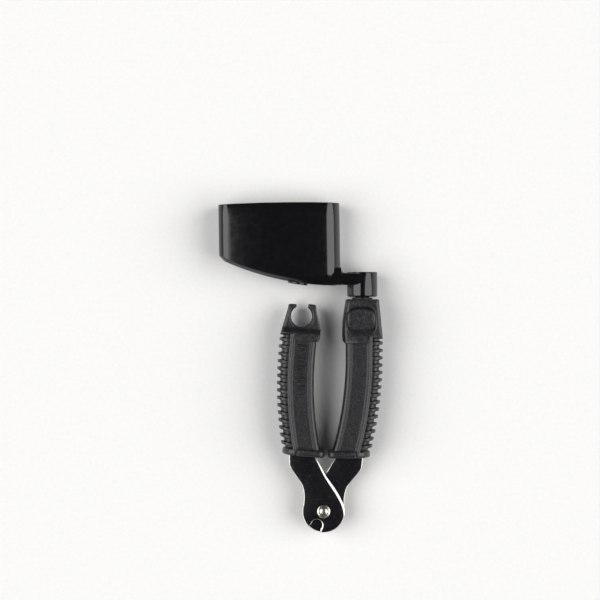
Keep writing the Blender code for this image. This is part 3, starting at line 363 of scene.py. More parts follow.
def matt_card():
    """Uncoated white card: matt, very slightly uneven."""
    finish, tree, at = new_finish("matt_card")
    fibres = add(tree, "ShaderNodeTexNoise", {"Scale": 0.6, "Detail": 4.0}, {"Vector": at})
    colour = add(tree, "ShaderNodeMix", {6: linear("#efeeec"), 7: linear("#f8f8f7")},
                 {0: fibres.outputs["Fac"]}, data_type="RGBA")
    shader = add(tree, "ShaderNodeBsdfPrincipled", {"Roughness": 0.9, "Specular IOR Level": 0.2},
                 {"Base Color": colour.outputs[2]})
    finish_off(tree, shader)
    return finish


# ------------------------------------------------------------ shape helpers

def arc(centre, radius, start_deg, end_deg, steps):
    turns = [math.radians(start_deg + (end_deg - start_deg) * i / steps) for i in range(steps + 1)]
    return [(centre[0] + radius * math.cos(a), centre[1] + radius * math.sin(a)) for a in turns]


def quarter_turn(steps):
    return [math.pi / 2 * i / steps for i in range(steps + 1)]


def bezier(first, pull_first, pull_last, last, steps):
    points = []
    for i in range(steps + 1):
        t = i / steps
        weights = ((1 - t) ** 3, 3 * (1 - t) ** 2 * t, 3 * (1 - t) * t * t, t ** 3)
        corners = (first, pull_first, pull_last, last)
        points.append(tuple(sum(w * c[k] for w, c in zip(weights, corners)) for k in range(2)))
    return points


def softened(points, radius, steps=4):
    """A closed outline with each of its corners rounded off."""
    made = []
    count = len(points)
    for i in range(count):
        here = Vector(points[i])
        before = Vector(points[i - 1]) - here
        after = Vector(points[(i + 1) % count]) - here
        back = min(radius, before.length * 0.45)
        forth = min(radius, after.length * 0.45)
        start = here + before.normalized() * back
        end = here + after.normalized() * forth
        for k in range(steps + 1):
            t = k / steps
            made.append(tuple(start * (1 - t) ** 2 + here * 2 * t * (1 - t) + end * t * t))
    return made


def squircle(centre, half_width, half_height, power, count=72):
    """A rounded square whose sides all bulge a little."""
    points = []
    for i in range(count):
        a = 2 * math.pi * i / count
        c, s = math.cos(a), math.sin(a)
        points.append((centre[0] + half_width * math.copysign(abs(c) ** (2 / power), c),
                       centre[1] + half_height * math.copysign(abs(s) ** (2 / power), s)))
    return points


def area_of(points):
    return sum(a[0] * b[1] - b[0] * a[1] for a, b in zip(points, points[1:] + points[:1])) / 2


def drawn_in(points, widths):
    """An outline moved inwards, by a width of its own at each point."""
    count = len(points)
    made = []
    for i in range(count):
        here = Vector(points[i])
        before = (here - Vector(points[i - 1])).normalized()
        after = (Vector(points[(i + 1) % count]) - here).normalized()
        normal = Vector((-before.y - after.y, before.x + after.x))
        normal.normalize()
        spread = max(0.6, normal.dot(Vector((-after.y, after.x))))
        made.append(tuple(here + normal * (widths[i] / spread)))
    return made


def skin(shape, rings, material=0):
    """Quads between like rings."""
    for lower, upper in zip(rings, rings[1:]):
        for i in range(len(lower)):
            j = (i + 1) % len(lower)
            face = shape.faces.new((lower[i], lower[j], upper[j], upper[i]))
            face.material_index = material
    return shape


def loop_edges(shape, ring):
    return [shape.edges.get(pair) or shape.edges.new(pair) for pair in zip(ring, ring[1:] + ring[:1])]


def fill(shape, *rings):
    """A flat face inside the first ring and outside the others."""
    edges = [edge for ring in rings for edge in loop_edges(shape, ring)]
    made = bmesh.ops.triangle_fill(shape, use_beauty=True, edges=edges)
    return [item for item in made["geom"] if isinstance(item, bmesh.types.BMFace)]


def ring_at(shape, points, height):
    heights = height if isinstance(height, list) else [height] * len(points)
    return [shape.verts.new((x, y, z)) for (x, y), z in zip(points, heights)]


def slab(outline, low, high, front, back, steps=4, holes=(), front_hole=None):
    """A plate cut to an outline, with its edges rounded over.

    front and back are each a (width, depth) of the rounding, or a list with one
    for each point. Material 0 is on the faces and 1 on the rounded edges, where the cutter plates carry a
    painted highlight.
    """
    count = len(outline)
    if area_of(outline) < 0:
        outline = outline[::-1]
        front = front[::-1] if isinstance(front, list) else front
        back = back[::-1] if isinstance(back, list) else back
    front = front if isinstance(front, list) else [front] * count
    back = back if isinstance(back, list) else [back] * count
    shape = bmesh.new()
    rings = []
    turns = quarter_turn(steps)
    for turn in reversed(turns):
        points = drawn_in(outline, [w * (1 - math.cos(turn)) for w, d in back])
        rings.append(ring_at(shape, points, [low + d * (1 - math.sin(turn)) for w, d in back]))
    for turn in turns:
        points = drawn_in(outline, [w * (1 - math.cos(turn)) for w, d in front])
        rings.append(ring_at(shape, points, [high - d * (1 - math.sin(turn)) for w, d in front]))
    skin(shape, rings, material=1)
    through = []
    for hole in holes:
        sides = [ring_at(shape, hole, low), ring_at(shape, hole, high)]
        skin(shape, sides)
        through.append(sides)
    fill(shape, rings[0], *[sides[0] for sides in through])
    front_rings = [sides[1] for sides in through]
    if front_hole:
        front_rings.append(front_hole(shape))
    fill(shape, rings[-1], *front_rings)
    return shape


def turned(profile, steps=96):
    """A profile of (radius, height) spun round Z. Off the axis at both ends, it is a ring."""
    shape = bmesh.new()
    turns = [2 * math.pi * i / steps for i in range(steps)]
    rows = []
    for radius, height in profile:
        spread = turns if radius > 0 else [0.0]
        rows.append([shape.verts.new((radius * math.cos(a), radius * math.sin(a), height)) for a in spread])
    pairs = list(zip(rows, rows[1:]))
    if profile[0][0] > 0:
        pairs.append((rows[-1], rows[0]))
    for upper, lower in pairs:
        for i in range(steps):
            j = (i + 1) % steps
            corners = [upper[i % len(upper)], upper[j % len(upper)],
                       lower[j % len(lower)], lower[i % len(lower)]]
            shape.faces.new(list(dict.fromkeys(corners)))
    return shape


def rounded_profile(points, radius, steps=5):
    """A profile with its inner corners rounded off and its two ends kept."""
    made = softened(points, radius, steps)
    return [points[0]] + made[steps + 1:-(steps + 1)] + [points[-1]]


def moved(shape, x=0.0, y=0.0, z=0.0, turn_x=0.0, turn_z=0.0):
    place = Matrix.Translation((x, y, z)) @ Matrix.Rotation(turn_z, 4, "Z") @ Matrix.Rotation(turn_x, 4, "X")
    bmesh.ops.transform(shape, matrix=place, verts=shape.verts)
    return shape


def joined(*shapes):
    """Several closed shapes of one moulding, in one mesh."""
    whole = shapes[0]
    for other in shapes[1:]:
        carrier = bpy.data.meshes.new("carrier")
        other.to_mesh(carrier)
        other.free()
        whole.from_mesh(carrier)
        bpy.data.meshes.remove(carrier)
    return whole


def one_finish(shape):
    """Give every face the first of the piece's finishes."""
    for face in shape.faces:
        face.material_index = 0
    return shape


RIGHT = Matrix.Translation(PIVOT) @ Matrix.Scale(MM, 4)
MIRROR = Matrix.Diagonal((-1, 1, 1, 1))
LEFT = (Matrix.Translation(PIVOT) @ Matrix.Rotation(math.radians(-SPREAD_DEG), 4, "Z")
        @ Matrix.Scale(MM, 4) @ MIRROR)


def piece(name, shape, place, body, nodes, finishes):
    """Put a shape drawn in millimetres on its body."""
    bmesh.ops.transform(shape, matrix=place, verts=shape.verts)
    bmesh.ops.recalc_face_normals(shape, faces=shape.faces)
    mesh = bpy.data.meshes.new(name)
    shape.to_mesh(mesh)
    shape.free()
    for finish in finishes:
        mesh.materials.append(finish)
    mesh.shade_smooth()
    mesh.set_sharp_from_angle(angle=SMOOTH_ANGLE)
    thing = bpy.data.objects.new(name, mesh)
    bpy.context.scene.collection.objects.link(thing)
    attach(thing, body)
    if nodes:
        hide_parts(*nodes)
    return thing


# ------------------------------------------------------------------ handles

def bend_x(offset, y):
    """How far out a line at this offset from the handle's spine lies at height y."""
    if y >= BEND_START_Y:
        return SPINE_X + offset
    return SPINE_X - BEND_RADIUS + math.sqrt((BEND_RADIUS + offset) ** 2 - (BEND_START_Y - y) ** 2)


def rail(start, end, top, steps=8):
    """The crowned top of a rail."""
    points = []
    for i in range(steps + 1):
        t = i / steps
        points.append((start + (end - start) * t, top - RAIL_CROWN * (2 * t - 1) ** 2))
    return points


def stem_front(out, up):
    """Front half of the stem's section. out and up run from 0 in a groove to 1 on a rib."""
    side = [(INNER_SIDE, 0.0), (INNER_SIDE, 3.0), (INNER_SIDE, 6.0)]
    side += arc((INNER_SIDE + INNER_ROUND, HALF_DEPTH - INNER_ROUND), INNER_ROUND, 180, 90, 12)
    inner_rail = [(-7.15, HALF_DEPTH - 0.02), (-6.95, HALF_DEPTH - 0.1), (-6.8, HALF_DEPTH - 0.25)]
    wall = [(-6.68, 8.62), (-6.6, 8.4), (-6.48, 8.26), (-6.25, PANEL_HEIGHT), (-5.9, PANEL_HEIGHT)]
    floor = [(-4.0, PANEL_HEIGHT), (-1.0, PANEL_HEIGHT), (1.1, PANEL_HEIGHT), (1.4, PANEL_HEIGHT + 0.03)]
    step = [(1.6, 8.34), (1.72, 8.52), (1.85, 8.66), (2.05, 8.7), (2.3, 8.66), (2.42, 8.66)]
    outer_rail = rail(2.5, 3.85, HALF_DEPTH)
    reach = GROOVE_REACH + (RIB_REACH - GROOVE_REACH) * out
    height = GROOVE_HEIGHT + (RIB_HEIGHT - GROOVE_HEIGHT) * up
    edge = [(3.95, 8.72), (4.02, 8.62 + (height - RIB_HEIGHT) * 0.15), (4.06, (8.6 + height) / 2)]
    power = 2 / RIB_SQUARENESS
    grip = [(GRIP_START + reach * math.sin(a) ** power, height * math.cos(a) ** power)
            for a in quarter_turn(14)[:-1]]
    grip.append((GRIP_START + reach, 0.0))
    return side + inner_rail + wall + floor + step + outer_rail + edge + grip


def read_off(table, at):
    """A value on the straight lines between the (place, value) points of a table."""
    for (before, low), (after, high) in zip(table, table[1:]):
        if at <= after:
            return low + (high - low) * (at - before) / (after - before)
    return table[-1][1]


def rib_rings():
    """Where the stem's rings lie, as (rib number with fractions, out, up).

    A rib is a flat bar with crisp front edges and a small rounded tip.
    """
    half = (0.1, 0.15, 0.18, 0.2, 0.212, 0.222, 0.232, 0.245, 0.26, 0.29, 0.32, 0.41)
    places = (-0.5, *(-place for place in half[::-1]), 0.0, *half)
    edge = RIB_THICKNESS / 2 / RIB_PITCH
    rings = [(-0.95, 0.0, 0.0), (-0.6, 0.0, 0.0)]
    for number in range(RIB_COUNT):
        for place in places:
            up = 1 / (1 + math.exp((abs(place) - edge) / 0.006))
            rings.append((number + place, read_off(RIB_TIP, abs(place)), up))
    return rings + [(RIB_COUNT - 0.5, 0.0, 0.0), (RIB_COUNT - 0.3, 0.0, 0.0)]


def stem():
    shape = bmesh.new()
    rings = []
    for number, out, up in rib_rings():
        first, last = RIB_TILT_DEG
        tilt = math.radians(first + (last - first) * number / (RIB_COUNT - 1))
        root_y = RIB_TOP_Y - number * RIB_PITCH - RIB_REACH * math.sin(tilt)
        front = stem_front(out, up)
        section = front + [(offset, -height) for offset, height in reversed(front[1:-1])]
        ring = []
        for offset, height in section:
            y = root_y + max(0.0, offset - GRIP_START) * math.tan(tilt)
            ring.append(shape.verts.new((bend_x(offset, y), y, height)))
        rings.append(ring)
    skin(shape, rings)
    shape.faces.new(rings[0])
    shape.faces.new(rings[-1])
    return shape


def guard():
    """Finger stop across the lower end, its edges well rounded; the outer rail runs over it."""
    middle_y = (GUARD_LOW_Y + GUARD_TOP_Y) / 2
    half = (GUARD_TOP_Y - GUARD_LOW_Y) / 2
    start = bend_x(1.2, middle_y)
    front = arc((GUARD_INNER_X + GUARD_CORNER, GUARD_HEIGHT - GUARD_CORNER), GUARD_CORNER, 180, 90, 10)
    front += [(start, GUARD_HEIGHT), (start + 0.7, GUARD_HEIGHT - 0.12), (start + 1.2, GUARD_HEIGHT - 0.9)]
    front += [(bend_x(offset, middle_y), height + 0.15) for offset, height in rail(2.7, 4.1, HALF_DEPTH, 6)]
    front += [(bend_x(GRIP_START + RIB_REACH * math.sin(a), middle_y), RIB_HEIGHT * math.cos(a))
              for a in quarter_turn(12)[1:]]
    outline = front + [(x, -height) for x, height in reversed(front[:-1])]
    bar = slab(outline, -half, half, GUARD_ROUNDING, GUARD_ROUNDING, steps=6)
    return moved(bar, y=middle_y, turn_x=math.pi / 2)


def collar_rail(high_y):
    """The outer rail, carried up over the collar, with its ends let into it."""
    shape = bmesh.new()
    rings = []
    low_y = COLLAR_RAIL_LOW_Y
    for y, fall in ((low_y, COLLAR_RAIL_FALL), (low_y, 0.0), (high_y - 0.5, 0.0), (high_y, COLLAR_RAIL_FALL)):
        arch = [(SPINE_X + offset, height + COLLAR_RAIL_RISE - fall)
                for offset, height in rail(2.35, 3.95, HALF_DEPTH)]
        section = [(SPINE_X + 2.3, HALF_DEPTH - 1)] + arch + [(SPINE_X + 4.0, HALF_DEPTH - 1)]
        rings.append([shape.verts.new((x, y, height)) for x, height in section])
    skin(shape, rings)
    shape.faces.new(rings[0])
    shape.faces.new(rings[-1])
    return shape


def heel():
    return [(COLLAR_INNER_X + 1.4, COLLAR_LOW_Y), (COLLAR_INNER_X + 0.55, COLLAR_LOW_Y + 0.9),
            (COLLAR_INNER_X + 0.25, COLLAR_LOW_Y + 1.9)]


def outer_step():
    """From the collar's outer side down to the first groove, and in under the collar."""
    return [(COLLAR_OUTER_X, COLLAR_OUTER_LOW_Y), (SPINE_X + 3.4, COLLAR_OUTER_LOW_Y),
            (SPINE_X + 3.1, COLLAR_LOW_Y)]


def dimple(shape):
    """The thumb dimple's skin, from its rounded lip down to its floor. Gives back the lip."""
    rings = []
    for share, fall in ((0.0, 0.0), (0.25, 0.03), (0.6, 0.12), (1.0, DIMPLE_LIP_DEPTH)):
        points = squircle(*between(DIMPLE_LIP, DIMPLE_EDGE, share))
        rings.append(ring_at(shape, points, COLLAR_HEIGHT - fall))
    for share in (0.1, 0.25, 0.5, 0.75, 0.9, 1.0):
        fall = DIMPLE_LIP_DEPTH + (DIMPLE_DEPTH - DIMPLE_LIP_DEPTH) * math.sin(math.pi / 2 * share) ** 1.1
        points = squircle(*between(DIMPLE_EDGE, DIMPLE_FLOOR, share))
        rings.append(ring_at(shape, points, COLLAR_HEIGHT - fall))
    centre, half_width, half_height = DIMPLE_FLOOR[:3]
    for shrink, fall in ((0.75, 0.04), (0.5, 0.07), (0.25, 0.08)):
        points = squircle(centre, half_width * shrink, half_height * shrink, 2.4)
        rings.append(ring_at(shape, points, COLLAR_HEIGHT - DIMPLE_DEPTH - fall))
    skin(shape, rings)
    shape.faces.new(rings[-1])
    return rings[0]


def between(first, last, share):
    """A rounded square part way from one to another: its centre, half sizes and power."""
    centre = tuple(a + (b - a) * share for a, b in zip(first[0], last[0]))
    return (centre, *(a + (b - a) * share for a, b in zip(first[1:], last[1:])))


def block_outline():
    left = SWIVEL_X - BLOCK_TOP_WIDTH / 2
    right = SWIVEL_X + BLOCK_TOP_WIDTH / 2
    low = heel()
    flank = bezier(low[-1], (9.3, 93.9), (9.5, 97.6), (left - 0.12, BLOCK_TOP_Y - BLOCK_CORNER), 14)
    outer = [(right + (COLLAR_OUTER_X - right) * t, BLOCK_TOP_Y - BLOCK_CORNER
              + (COLLAR_OUTER_LOW_Y - BLOCK_TOP_Y + BLOCK_CORNER) * t) for t in (0.02, 0.25, 0.5, 0.75)]
    top = [(left + 0.1, BLOCK_TOP_Y - 0.3), (left + 0.6, BLOCK_TOP_Y),
           (right - 0.6, BLOCK_TOP_Y), (right - 0.1, BLOCK_TOP_Y - 0.3)]
    return low + flank[1:] + top + outer + outer_step()


def block_rounding(x, y):
    if y > BLOCK_TOP_Y - 0.5:
        return BLOCK_TOP_ROUNDING
    if y < COLLAR_LOW_Y + 0.5:
        return HEEL_ROUNDING
    return BLOCK_INNER_ROUNDING if x < SPINE_X else BLOCK_OUTER_ROUNDING


def swivel_block():
    """The block that carries the crank, with wide rounded flanks and a thumb dimple."""
    outline = block_outline()
    edges = [block_rounding(x, y) for x, y in outline]
    front = slab(outline, 0.0, COLLAR_HEIGHT, edges, (0.0, 0.0), steps=6, front_hole=dimple)
    rear = slab(outline, 0.0, COLLAR_HEIGHT, edges, (0.0, 0.0), steps=6, front_hole=dimple)
    bmesh.ops.transform(rear, matrix=Matrix.Diagonal((1, 1, -1, 1)), verts=rear.verts)
    for half in (front, rear):
        flat = [face for face in half.faces if all(abs(v.co.z) < 1e-6 for v in face.verts)]
        bmesh.ops.delete(half, geom=flat, context="FACES")
    block = joined(front, rear)
    bmesh.ops.remove_doubles(block, verts=block.verts, dist=0.0005)
    return one_finish(block)


def horn(side):
    """One horn, from its outer flank over its flat top to the sharp corner at the mouth."""
    mouth = BORE[0] + side * CLAW_MOUTH / 2
    flank = mouth + side * HORN_WIDTH
    top = CLAW_TOP_Y + (INNER_HORN_RISE if side < 0 else 0.0)
    shoulder = bezier((flank, CLAW_LIP_Y - 0.8), (flank, top - 0.4), (flank - side * 0.4, top),
                      (flank - side * 1.5, top), 8)
    return shoulder + [(mouth + side * 0.5, top + 0.1), (mouth + side * 0.12, top - 0.12), (mouth, top - 0.6)]


def claw_outline():
    """Up the inner side, round the bore between the two horns, and down the outer side."""
    lip = math.degrees(math.asin(CLAW_MOUTH / 2 / BORE_RADIUS))
    waist = (COLLAR_INNER_X + 0.2, CLAW_STEP_TOP_Y)
    bore = arc(BORE, BORE_RADIUS, 90 + lip, 450 - lip, 56)
    left_flank = horn(-1)
    right_flank = horn(1)[::-1]
    first = left_flank[0]
    inner = [(waist[0] + (first[0] - waist[0]) * t, waist[1] + (first[1] - waist[1]) * t)
             for t in (0.0, 0.25, 0.5, 0.75)]
    last = right_flank[-1]
    outer = [(last[0] + (COLLAR_OUTER_X - last[0]) * t, last[1] + (COLLAR_OUTER_LOW_Y - last[1]) * t)
             for t in (0.2, 0.4, 0.6, 0.8)]
    return heel() + inner + left_flank + bore + right_flank + outer + outer_step()


def claw_rounding(x, y):
    if math.hypot(x - BORE[0], y - BORE[1]) < BORE_RADIUS + 0.05:
        return BORE_ROUNDING
    if y > CLAW_LIP_Y - 0.2:
        return HORN_ROUNDING
    if y < COLLAR_LOW_Y + 0.5:
        return HEEL_ROUNDING
    if x <= SPINE_X:
        return CLAW_INNER_ROUNDING
    # The outer side's rounding widens from the horn down to the collar.
    return (1.3 + 0.9 * (CLAW_LIP_Y - y) / 15, 1.9)


def claw():
    """The bridge-pin claw on its collar, thinned front and back over a sloping step."""
    outline = claw_outline()
    edges = [claw_rounding(x, y) for x, y in outline]
    body = slab(outline, -COLLAR_HEIGHT, COLLAR_HEIGHT, edges, edges, steps=5)
    bmesh.ops.triangulate(body, faces=[f for f in body.faces if len(f.verts) > 4])
    for y in (CLAW_STEP_LOW_Y, CLAW_STEP_LOW_Y + 0.2, CLAW_STEP_LOW_Y + 1.0, CLAW_STEP_TOP_Y - 0.3,
              CLAW_STEP_TOP_Y):
        everything = body.verts[:] + body.edges[:] + body.faces[:]
        bmesh.ops.bisect_plane(body, geom=everything, plane_co=(0, y, 0), plane_no=(0, 1, 0))
    for vert in body.verts:
        share = (vert.co.y - CLAW_STEP_LOW_Y) / (CLAW_STEP_TOP_Y - CLAW_STEP_LOW_Y)
        share = min(1.0, max(0.0, share))
        share = share * share * (3 - 2 * share)
        vert.co.z *= 1 + (CLAW_HEIGHT / COLLAR_HEIGHT - 1) * share
    return one_finish(body)


def raised_bars():
    """A plain column of raised bars in the left handle's panel."""
    bars = []
    half = BAR_HALF_WIDTH
    for number in range(BAR_COUNT):
        y = BAR_TOP_Y - BAR_PITCH * number
        reach = BAR_REACHES[number % len(BAR_REACHES)]
        slope = math.atan2(bend_x(BAR_OFFSET, y + 1) - bend_x(BAR_OFFSET, y - 1), 2.0)
        outline = softened([(-reach, -half), (reach, -half), (reach, half), (-reach, half)], 0.3)
        bar = slab(outline, PANEL_HEIGHT - 0.3, PANEL_HEIGHT + BAR_RISE, BAR_ROUNDING, (0.0, 0.0), steps=3)
        bars.append(moved(one_finish(bar), x=bend_x(BAR_OFFSET, y), y=y, turn_z=-slope))
    return joined(*bars)


# ----------------------------------------------------------- cutter plates

def eye(angle_deg):
    angle = math.radians(angle_deg)
    return (EYE_RADIUS * math.cos(angle), EYE_RADIUS * math.sin(angle))


def plate_runs():
    """Right-hand plate: its outline, with the width of bevel along each run, coloured as a painted highlight.
    """
    shoulder = (bend_x(6.5, SHOULDER_Y), SHOULDER_Y)
    inner_shoulder = (bend_x(-6.9, SHOULDER_Y), SHOULDER_Y)
    hip = [shoulder] + bezier(HIP, (18.2, 19.4), (14.8, 16.2), WAIST, 16)
    waist = bezier(WAIST, (10.7, 9.6), (eye(12)[0] - 0.2, eye(12)[1] + 3.2), eye(12), 12)
    turn = math.radians(NOTCH_TURN_DEG)
    centre = (NOTCH_FROM_PIVOT * math.cos(turn), NOTCH_FROM_PIVOT * math.sin(turn))
    first_eye = arc((0, 0), EYE_RADIUS, 12, NOTCH_TURN_DEG + NOTCH_MOUTH_DEG, 30)
    notch = arc(centre, NOTCH_RADIUS, NOTCH_TURN_DEG + 70, NOTCH_TURN_DEG + 290, 40)
    last_eye = arc((0, 0), EYE_RADIUS, NOTCH_TURN_DEG - NOTCH_MOUTH_DEG, -192, 48)
    flank = bezier(eye(168), (eye(168)[0] + 1.9, eye(168)[1] + 6.3), (CROSSING[0] - 2.8, CROSSING[1] - 3.3),
                   CROSSING, 24)
    inner = [(CROSSING[0] + (inner_shoulder[0] - CROSSING[0]) * t, CROSSING[1]
              + (inner_shoulder[1] - CROSSING[1]) * t) for t in (0.25, 0.5, 0.75, 1.0)]
    top = [(bend_x(-4.2, 30.0), 30.0), (bend_x(3.2, 30.0), 30.0)]
    return hip, waist, first_eye, notch, last_eye, flank, inner, top


def plate(low, high, bevel):
    """A cutter plate. Its inner edge has a bevel of this width, coloured as a painted highlight."""
    hip, waist, first_eye, notch, last_eye, flank, inner, top = plate_runs()
    thin = 0.2
    outline, widths = [], []
    for run, width_at in ((hip, lambda t: thin), (waist[1:], lambda t: thin), (first_eye[1:], lambda t: 0.16),
                          (notch, lambda t: 0.16 + 1.0 * max(0.0, t - 0.5) ** 1.2 * 1.6),
                          (last_eye, lambda t: 0.16 + 5 * (0.7 * bevel - 0.16) * max(0.0, t - 0.8)),
                          (flank[1:], lambda t: bevel * (0.7 + 0.3 * math.sin(math.pi * t))),
                          (inner, lambda t: bevel * (0.7 - 0.3 * t)), (top, lambda t: 0.1)):
        for i, point in enumerate(run):
            outline.append(point)
            widths.append(width_at(i / max(1, len(run) - 1)))
    front = [(w, w * 0.45) for w in widths]
    hole = arc((0, 0), PIVOT_HOLE, 0, 360, 48)[:-1]
    return slab(outline, low, high, front, (0.15, 0.1), steps=2, holes=(hole,))


def rivet():
    """Solid rivet: a domed centre in a rolled ring in front, a clenched tail behind."""
    base = PLATE_FAR + CLEARANCE
    dome = [(2.15 * math.sin(a), base + 0.62 + 0.7 * math.cos(a)) for a in quarter_turn(10)[:-1]]
    groove = [(2.2, base + 0.4), (2.28, base + 0.15), (2.38, base + 0.15), (2.44, base + 0.4)]
    ring = [(2.95 - 0.5 * math.cos(a), base + 0.6 + 0.34 * math.sin(a)) for a in quarter_turn(4)]
    lip = [(2.95 + 0.55 * math.sin(a), base + 0.34 + 0.6 * math.cos(a)) for a in quarter_turn(6)[1:]]
    behind = -base - 1.1
    tail = [(2.0, base), (2.0, behind), (3.2, behind), (3.15, behind - 0.3), (2.8, behind - 0.65),
            (2.0, behind - 0.9), (1.0, behind - 1.0), (0.0, behind - 1.0)]
    return turned([(0.0, dome[0][1])] + dome[1:] + groove + ring + lip + [(3.5, base)] + tail)


def washer():
    """Stamped washer with its outer edges broken."""
    top = -PLATE_FAR - CLEARANCE
    profile = [(PIVOT_HOLE, top - 0.4), (PIVOT_HOLE, top), (4.35, top), (4.5, top - 0.15),
               (4.5, top - 0.65), (4.35, top - 0.8), (PIVOT_HOLE, top - 0.8)]
    return turned(profile)


# ------------------------------------------------------- swivel and winder

def bush():
    """Flanged bush: the flange shows as the neck, the sleeve runs up inside the hub."""
    top = HUB_LOW_Y + HUB_WEB
    flange = HUB_LOW_Y - CLEARANCE
    seat = BLOCK_TOP_Y - BUSH_SEAT
    profile = [(BUSH_BORE, top), (BUSH_RADIUS, top), (BUSH_RADIUS, flange), (NECK_RADIUS - 0.2, flange),
               (NECK_RADIUS, HUB_LOW_Y - 0.5), (NECK_RADIUS, seat), (BUSH_BORE, seat)]
    return moved(turned(profile), x=SWIVEL_X, turn_x=-math.pi / 2)


def hub():
    """Barrel of the crank, open down its middle, with a rolled lower edge."""
    seat = CAP_RADIUS + CLEARANCE
    outer = [(HUB_RADIUS - 0.35, HUB_TOP_Y), (HUB_RADIUS - 0.12, HUB_TOP_Y - 0.1),
             (HUB_RADIUS, HUB_TOP_Y - 0.35)]
    lower = [(HUB_RADIUS - HUB_ROLL + HUB_ROLL * math.cos(a), HUB_LOW_Y + HUB_ROLL - HUB_ROLL * math.sin(a))
             for a in quarter_turn(8)]
    bore = [(HUB_BORE, HUB_LOW_Y), (HUB_BORE, HUB_LOW_Y + HUB_WEB), (seat, HUB_LOW_Y + HUB_WEB),
            (seat, HUB_TOP_Y - 0.25), (seat + 0.2, HUB_TOP_Y)]
    return moved(turned(outer + lower + bore, steps=128), x=SWIVEL_X, turn_x=-math.pi / 2)


def cap():
    """Pressed-in lid with a shallow dish."""
    top = HUB_TOP_Y - CAP_RECESS
    dish = [(CAP_RADIUS * 0.84 * i / 10, top - CAP_DISH * math.cos(math.pi / 2 * i / 10)) for i in range(11)]
    profile = dish + [(CAP_RADIUS - 0.2, top), (CAP_RADIUS, top - 0.2), (CAP_RADIUS, top - CAP_THICKNESS),
                      (0.0, top - CAP_THICKNESS)]
    return moved(turned(profile), x=SWIVEL_X, turn_x=-math.pi / 2)


def corner_centre(side_x, radius):
    """Where a corner that ends at a side of the cup is struck from, and the face's ends."""
    tilt = math.radians(CUP_TILT_DEG)
    run = CUP_WIDTH - (CUP_FREE_CORNER + CUP_CRANK_CORNER) * (1 - math.sin(tilt))
    end_depth = CUP_HALF_DEPTH - run / 2 / math.sin(tilt) * (1 - math.cos(tilt))
    inwards = math.copysign(radius, CUP_MIDDLE_X - side_x)
    return side_x + inwards, end_depth - radius * math.cos(tilt)


def cup_half_plan(inset):
    """Front half of the cup's plan, left to right: round corners and a gently bulged face."""
    left = corner_centre(CUP_RIGHT_X - CUP_WIDTH, CUP_FREE_CORNER)
    right = corner_centre(CUP_RIGHT_X, CUP_CRANK_CORNER)
    slope = math.sin(math.radians(CUP_TILT_DEG))
    start = left[0] - CUP_FREE_CORNER * slope
    end = right[0] + CUP_CRANK_CORNER * slope
    radius = (end - start) / 2 / slope
    face = ((start + end) / 2, CUP_HALF_DEPTH - radius)
    from_deg, to_deg = 90 + CUP_TILT_DEG, 90 - CUP_TILT_DEG
    plan = arc(left, CUP_FREE_CORNER - inset, 180, from_deg, 18)
    plan += arc(face, radius - inset, from_deg, to_deg, 28)[1:-1]
    return plan + arc(right, CUP_CRANK_CORNER - inset, to_deg, 0, 18)


def cup_bottom(x):
    return CUP_LOW_Y + CUP_BOTTOM_RADIUS - math.sqrt(CUP_BOTTOM_RADIUS ** 2 - (x - CUP_LOW_X) ** 2)


def bottom_edge(x):
    """Height of the rounding under the cup: low at the free end, tall beside the arm."""
    share = (x - CUP_RIGHT_X + CUP_WIDTH) / CUP_WIDTH
    return 1.8 + 6.6 * max(0.0, share) ** 4


def cup_rim(x):
    return CUP_RIM_Y - CUP_RIM_RADIUS + math.sqrt(CUP_RIM_RADIUS ** 2 - (x - CUP_MIDDLE_X) ** 2)


def leaned(x, y):
    """The cup leans away from the crank, about its lower right corner."""
    angle = math.radians(CUP_LEAN_DEG)
    out, up = x - CUP_RIGHT_X, y - ARM_TOP_Y
    return (CUP_RIGHT_X + out * math.cos(angle) - up * math.sin(angle),
            ARM_TOP_Y + out * math.sin(angle) + up * math.cos(angle))


def cup_ring(shape, inset, height_at):
    plan = cup_half_plan(inset)
    ring = []
    for sign, row in ((1, plan), (-1, plan[::-1])):
        for x, depth in row:
            ring.append(shape.verts.new((*leaned(x, height_at(x)), sign * depth)))
    return ring


def cup():
    """The cup's skin: from its rounded bottom up the outside, over the rim, down the inside."""
    shape = bmesh.new()
    rings = []
    for i in range(11):
        rings.append(cup_ring(shape, CUP_BOTTOM_EDGE * (1 - i / 10) ** 1.25,
                              lambda x, rise=i / 10: cup_bottom(x) + bottom_edge(x) * rise))
    for share in (0.01, 0.25, 0.5, 0.75):
        rings.append(cup_ring(shape, 0.0, lambda x, s=share: (cup_bottom(x) + bottom_edge(x)) * (1 - s)
                              + cup_rim(x) * s))
    for inset, fall in ((0.0, 0.35), (0.1, 0.1), (0.35, 0.0), (CUP_WALL - 0.3, 0.0), (CUP_WALL - 0.08, 0.08),
                        (CUP_WALL, 0.3)):
        rings.append(cup_ring(shape, inset, lambda x, fall=fall: cup_rim(x) - fall))
    for a in quarter_turn(6):
        inset = CUP_WALL + CUP_INNER_ROUND * (1 - math.cos(a))
        lift = CUP_WALL + CUP_INNER_ROUND * (1 - math.sin(a))
        rings.append(cup_ring(shape, inset, lambda x, lift=lift: cup_bottom(x) + lift))
    skin(shape, rings)
    for ring in (rings[0], rings[-1]):
        close_across(shape, ring)
    return shape


def arm_section():
    """The arm's section as (y, depth): its underside from back to front, then its top back again."""
    flat = ARM_HALF_DEPTH - ARM_EDGE
    corner = [(flat + ARM_EDGE * math.cos(a), ARM_EDGE * (1 - math.sin(a))) for a in quarter_turn(6)]
    steps = [flat * (1 - i / 8) for i in range(1, 9)]
    half = corner + [(depth, 0.0) for depth in steps]
    across = [(-depth, inset) for depth, inset in half] + half[-2::-1]
    under = [(ARM_LOW_Y + inset, depth) for depth, inset in across]
    over = [(ARM_TOP_Y - inset, depth) for depth, inset in reversed(across)]
    return under + over


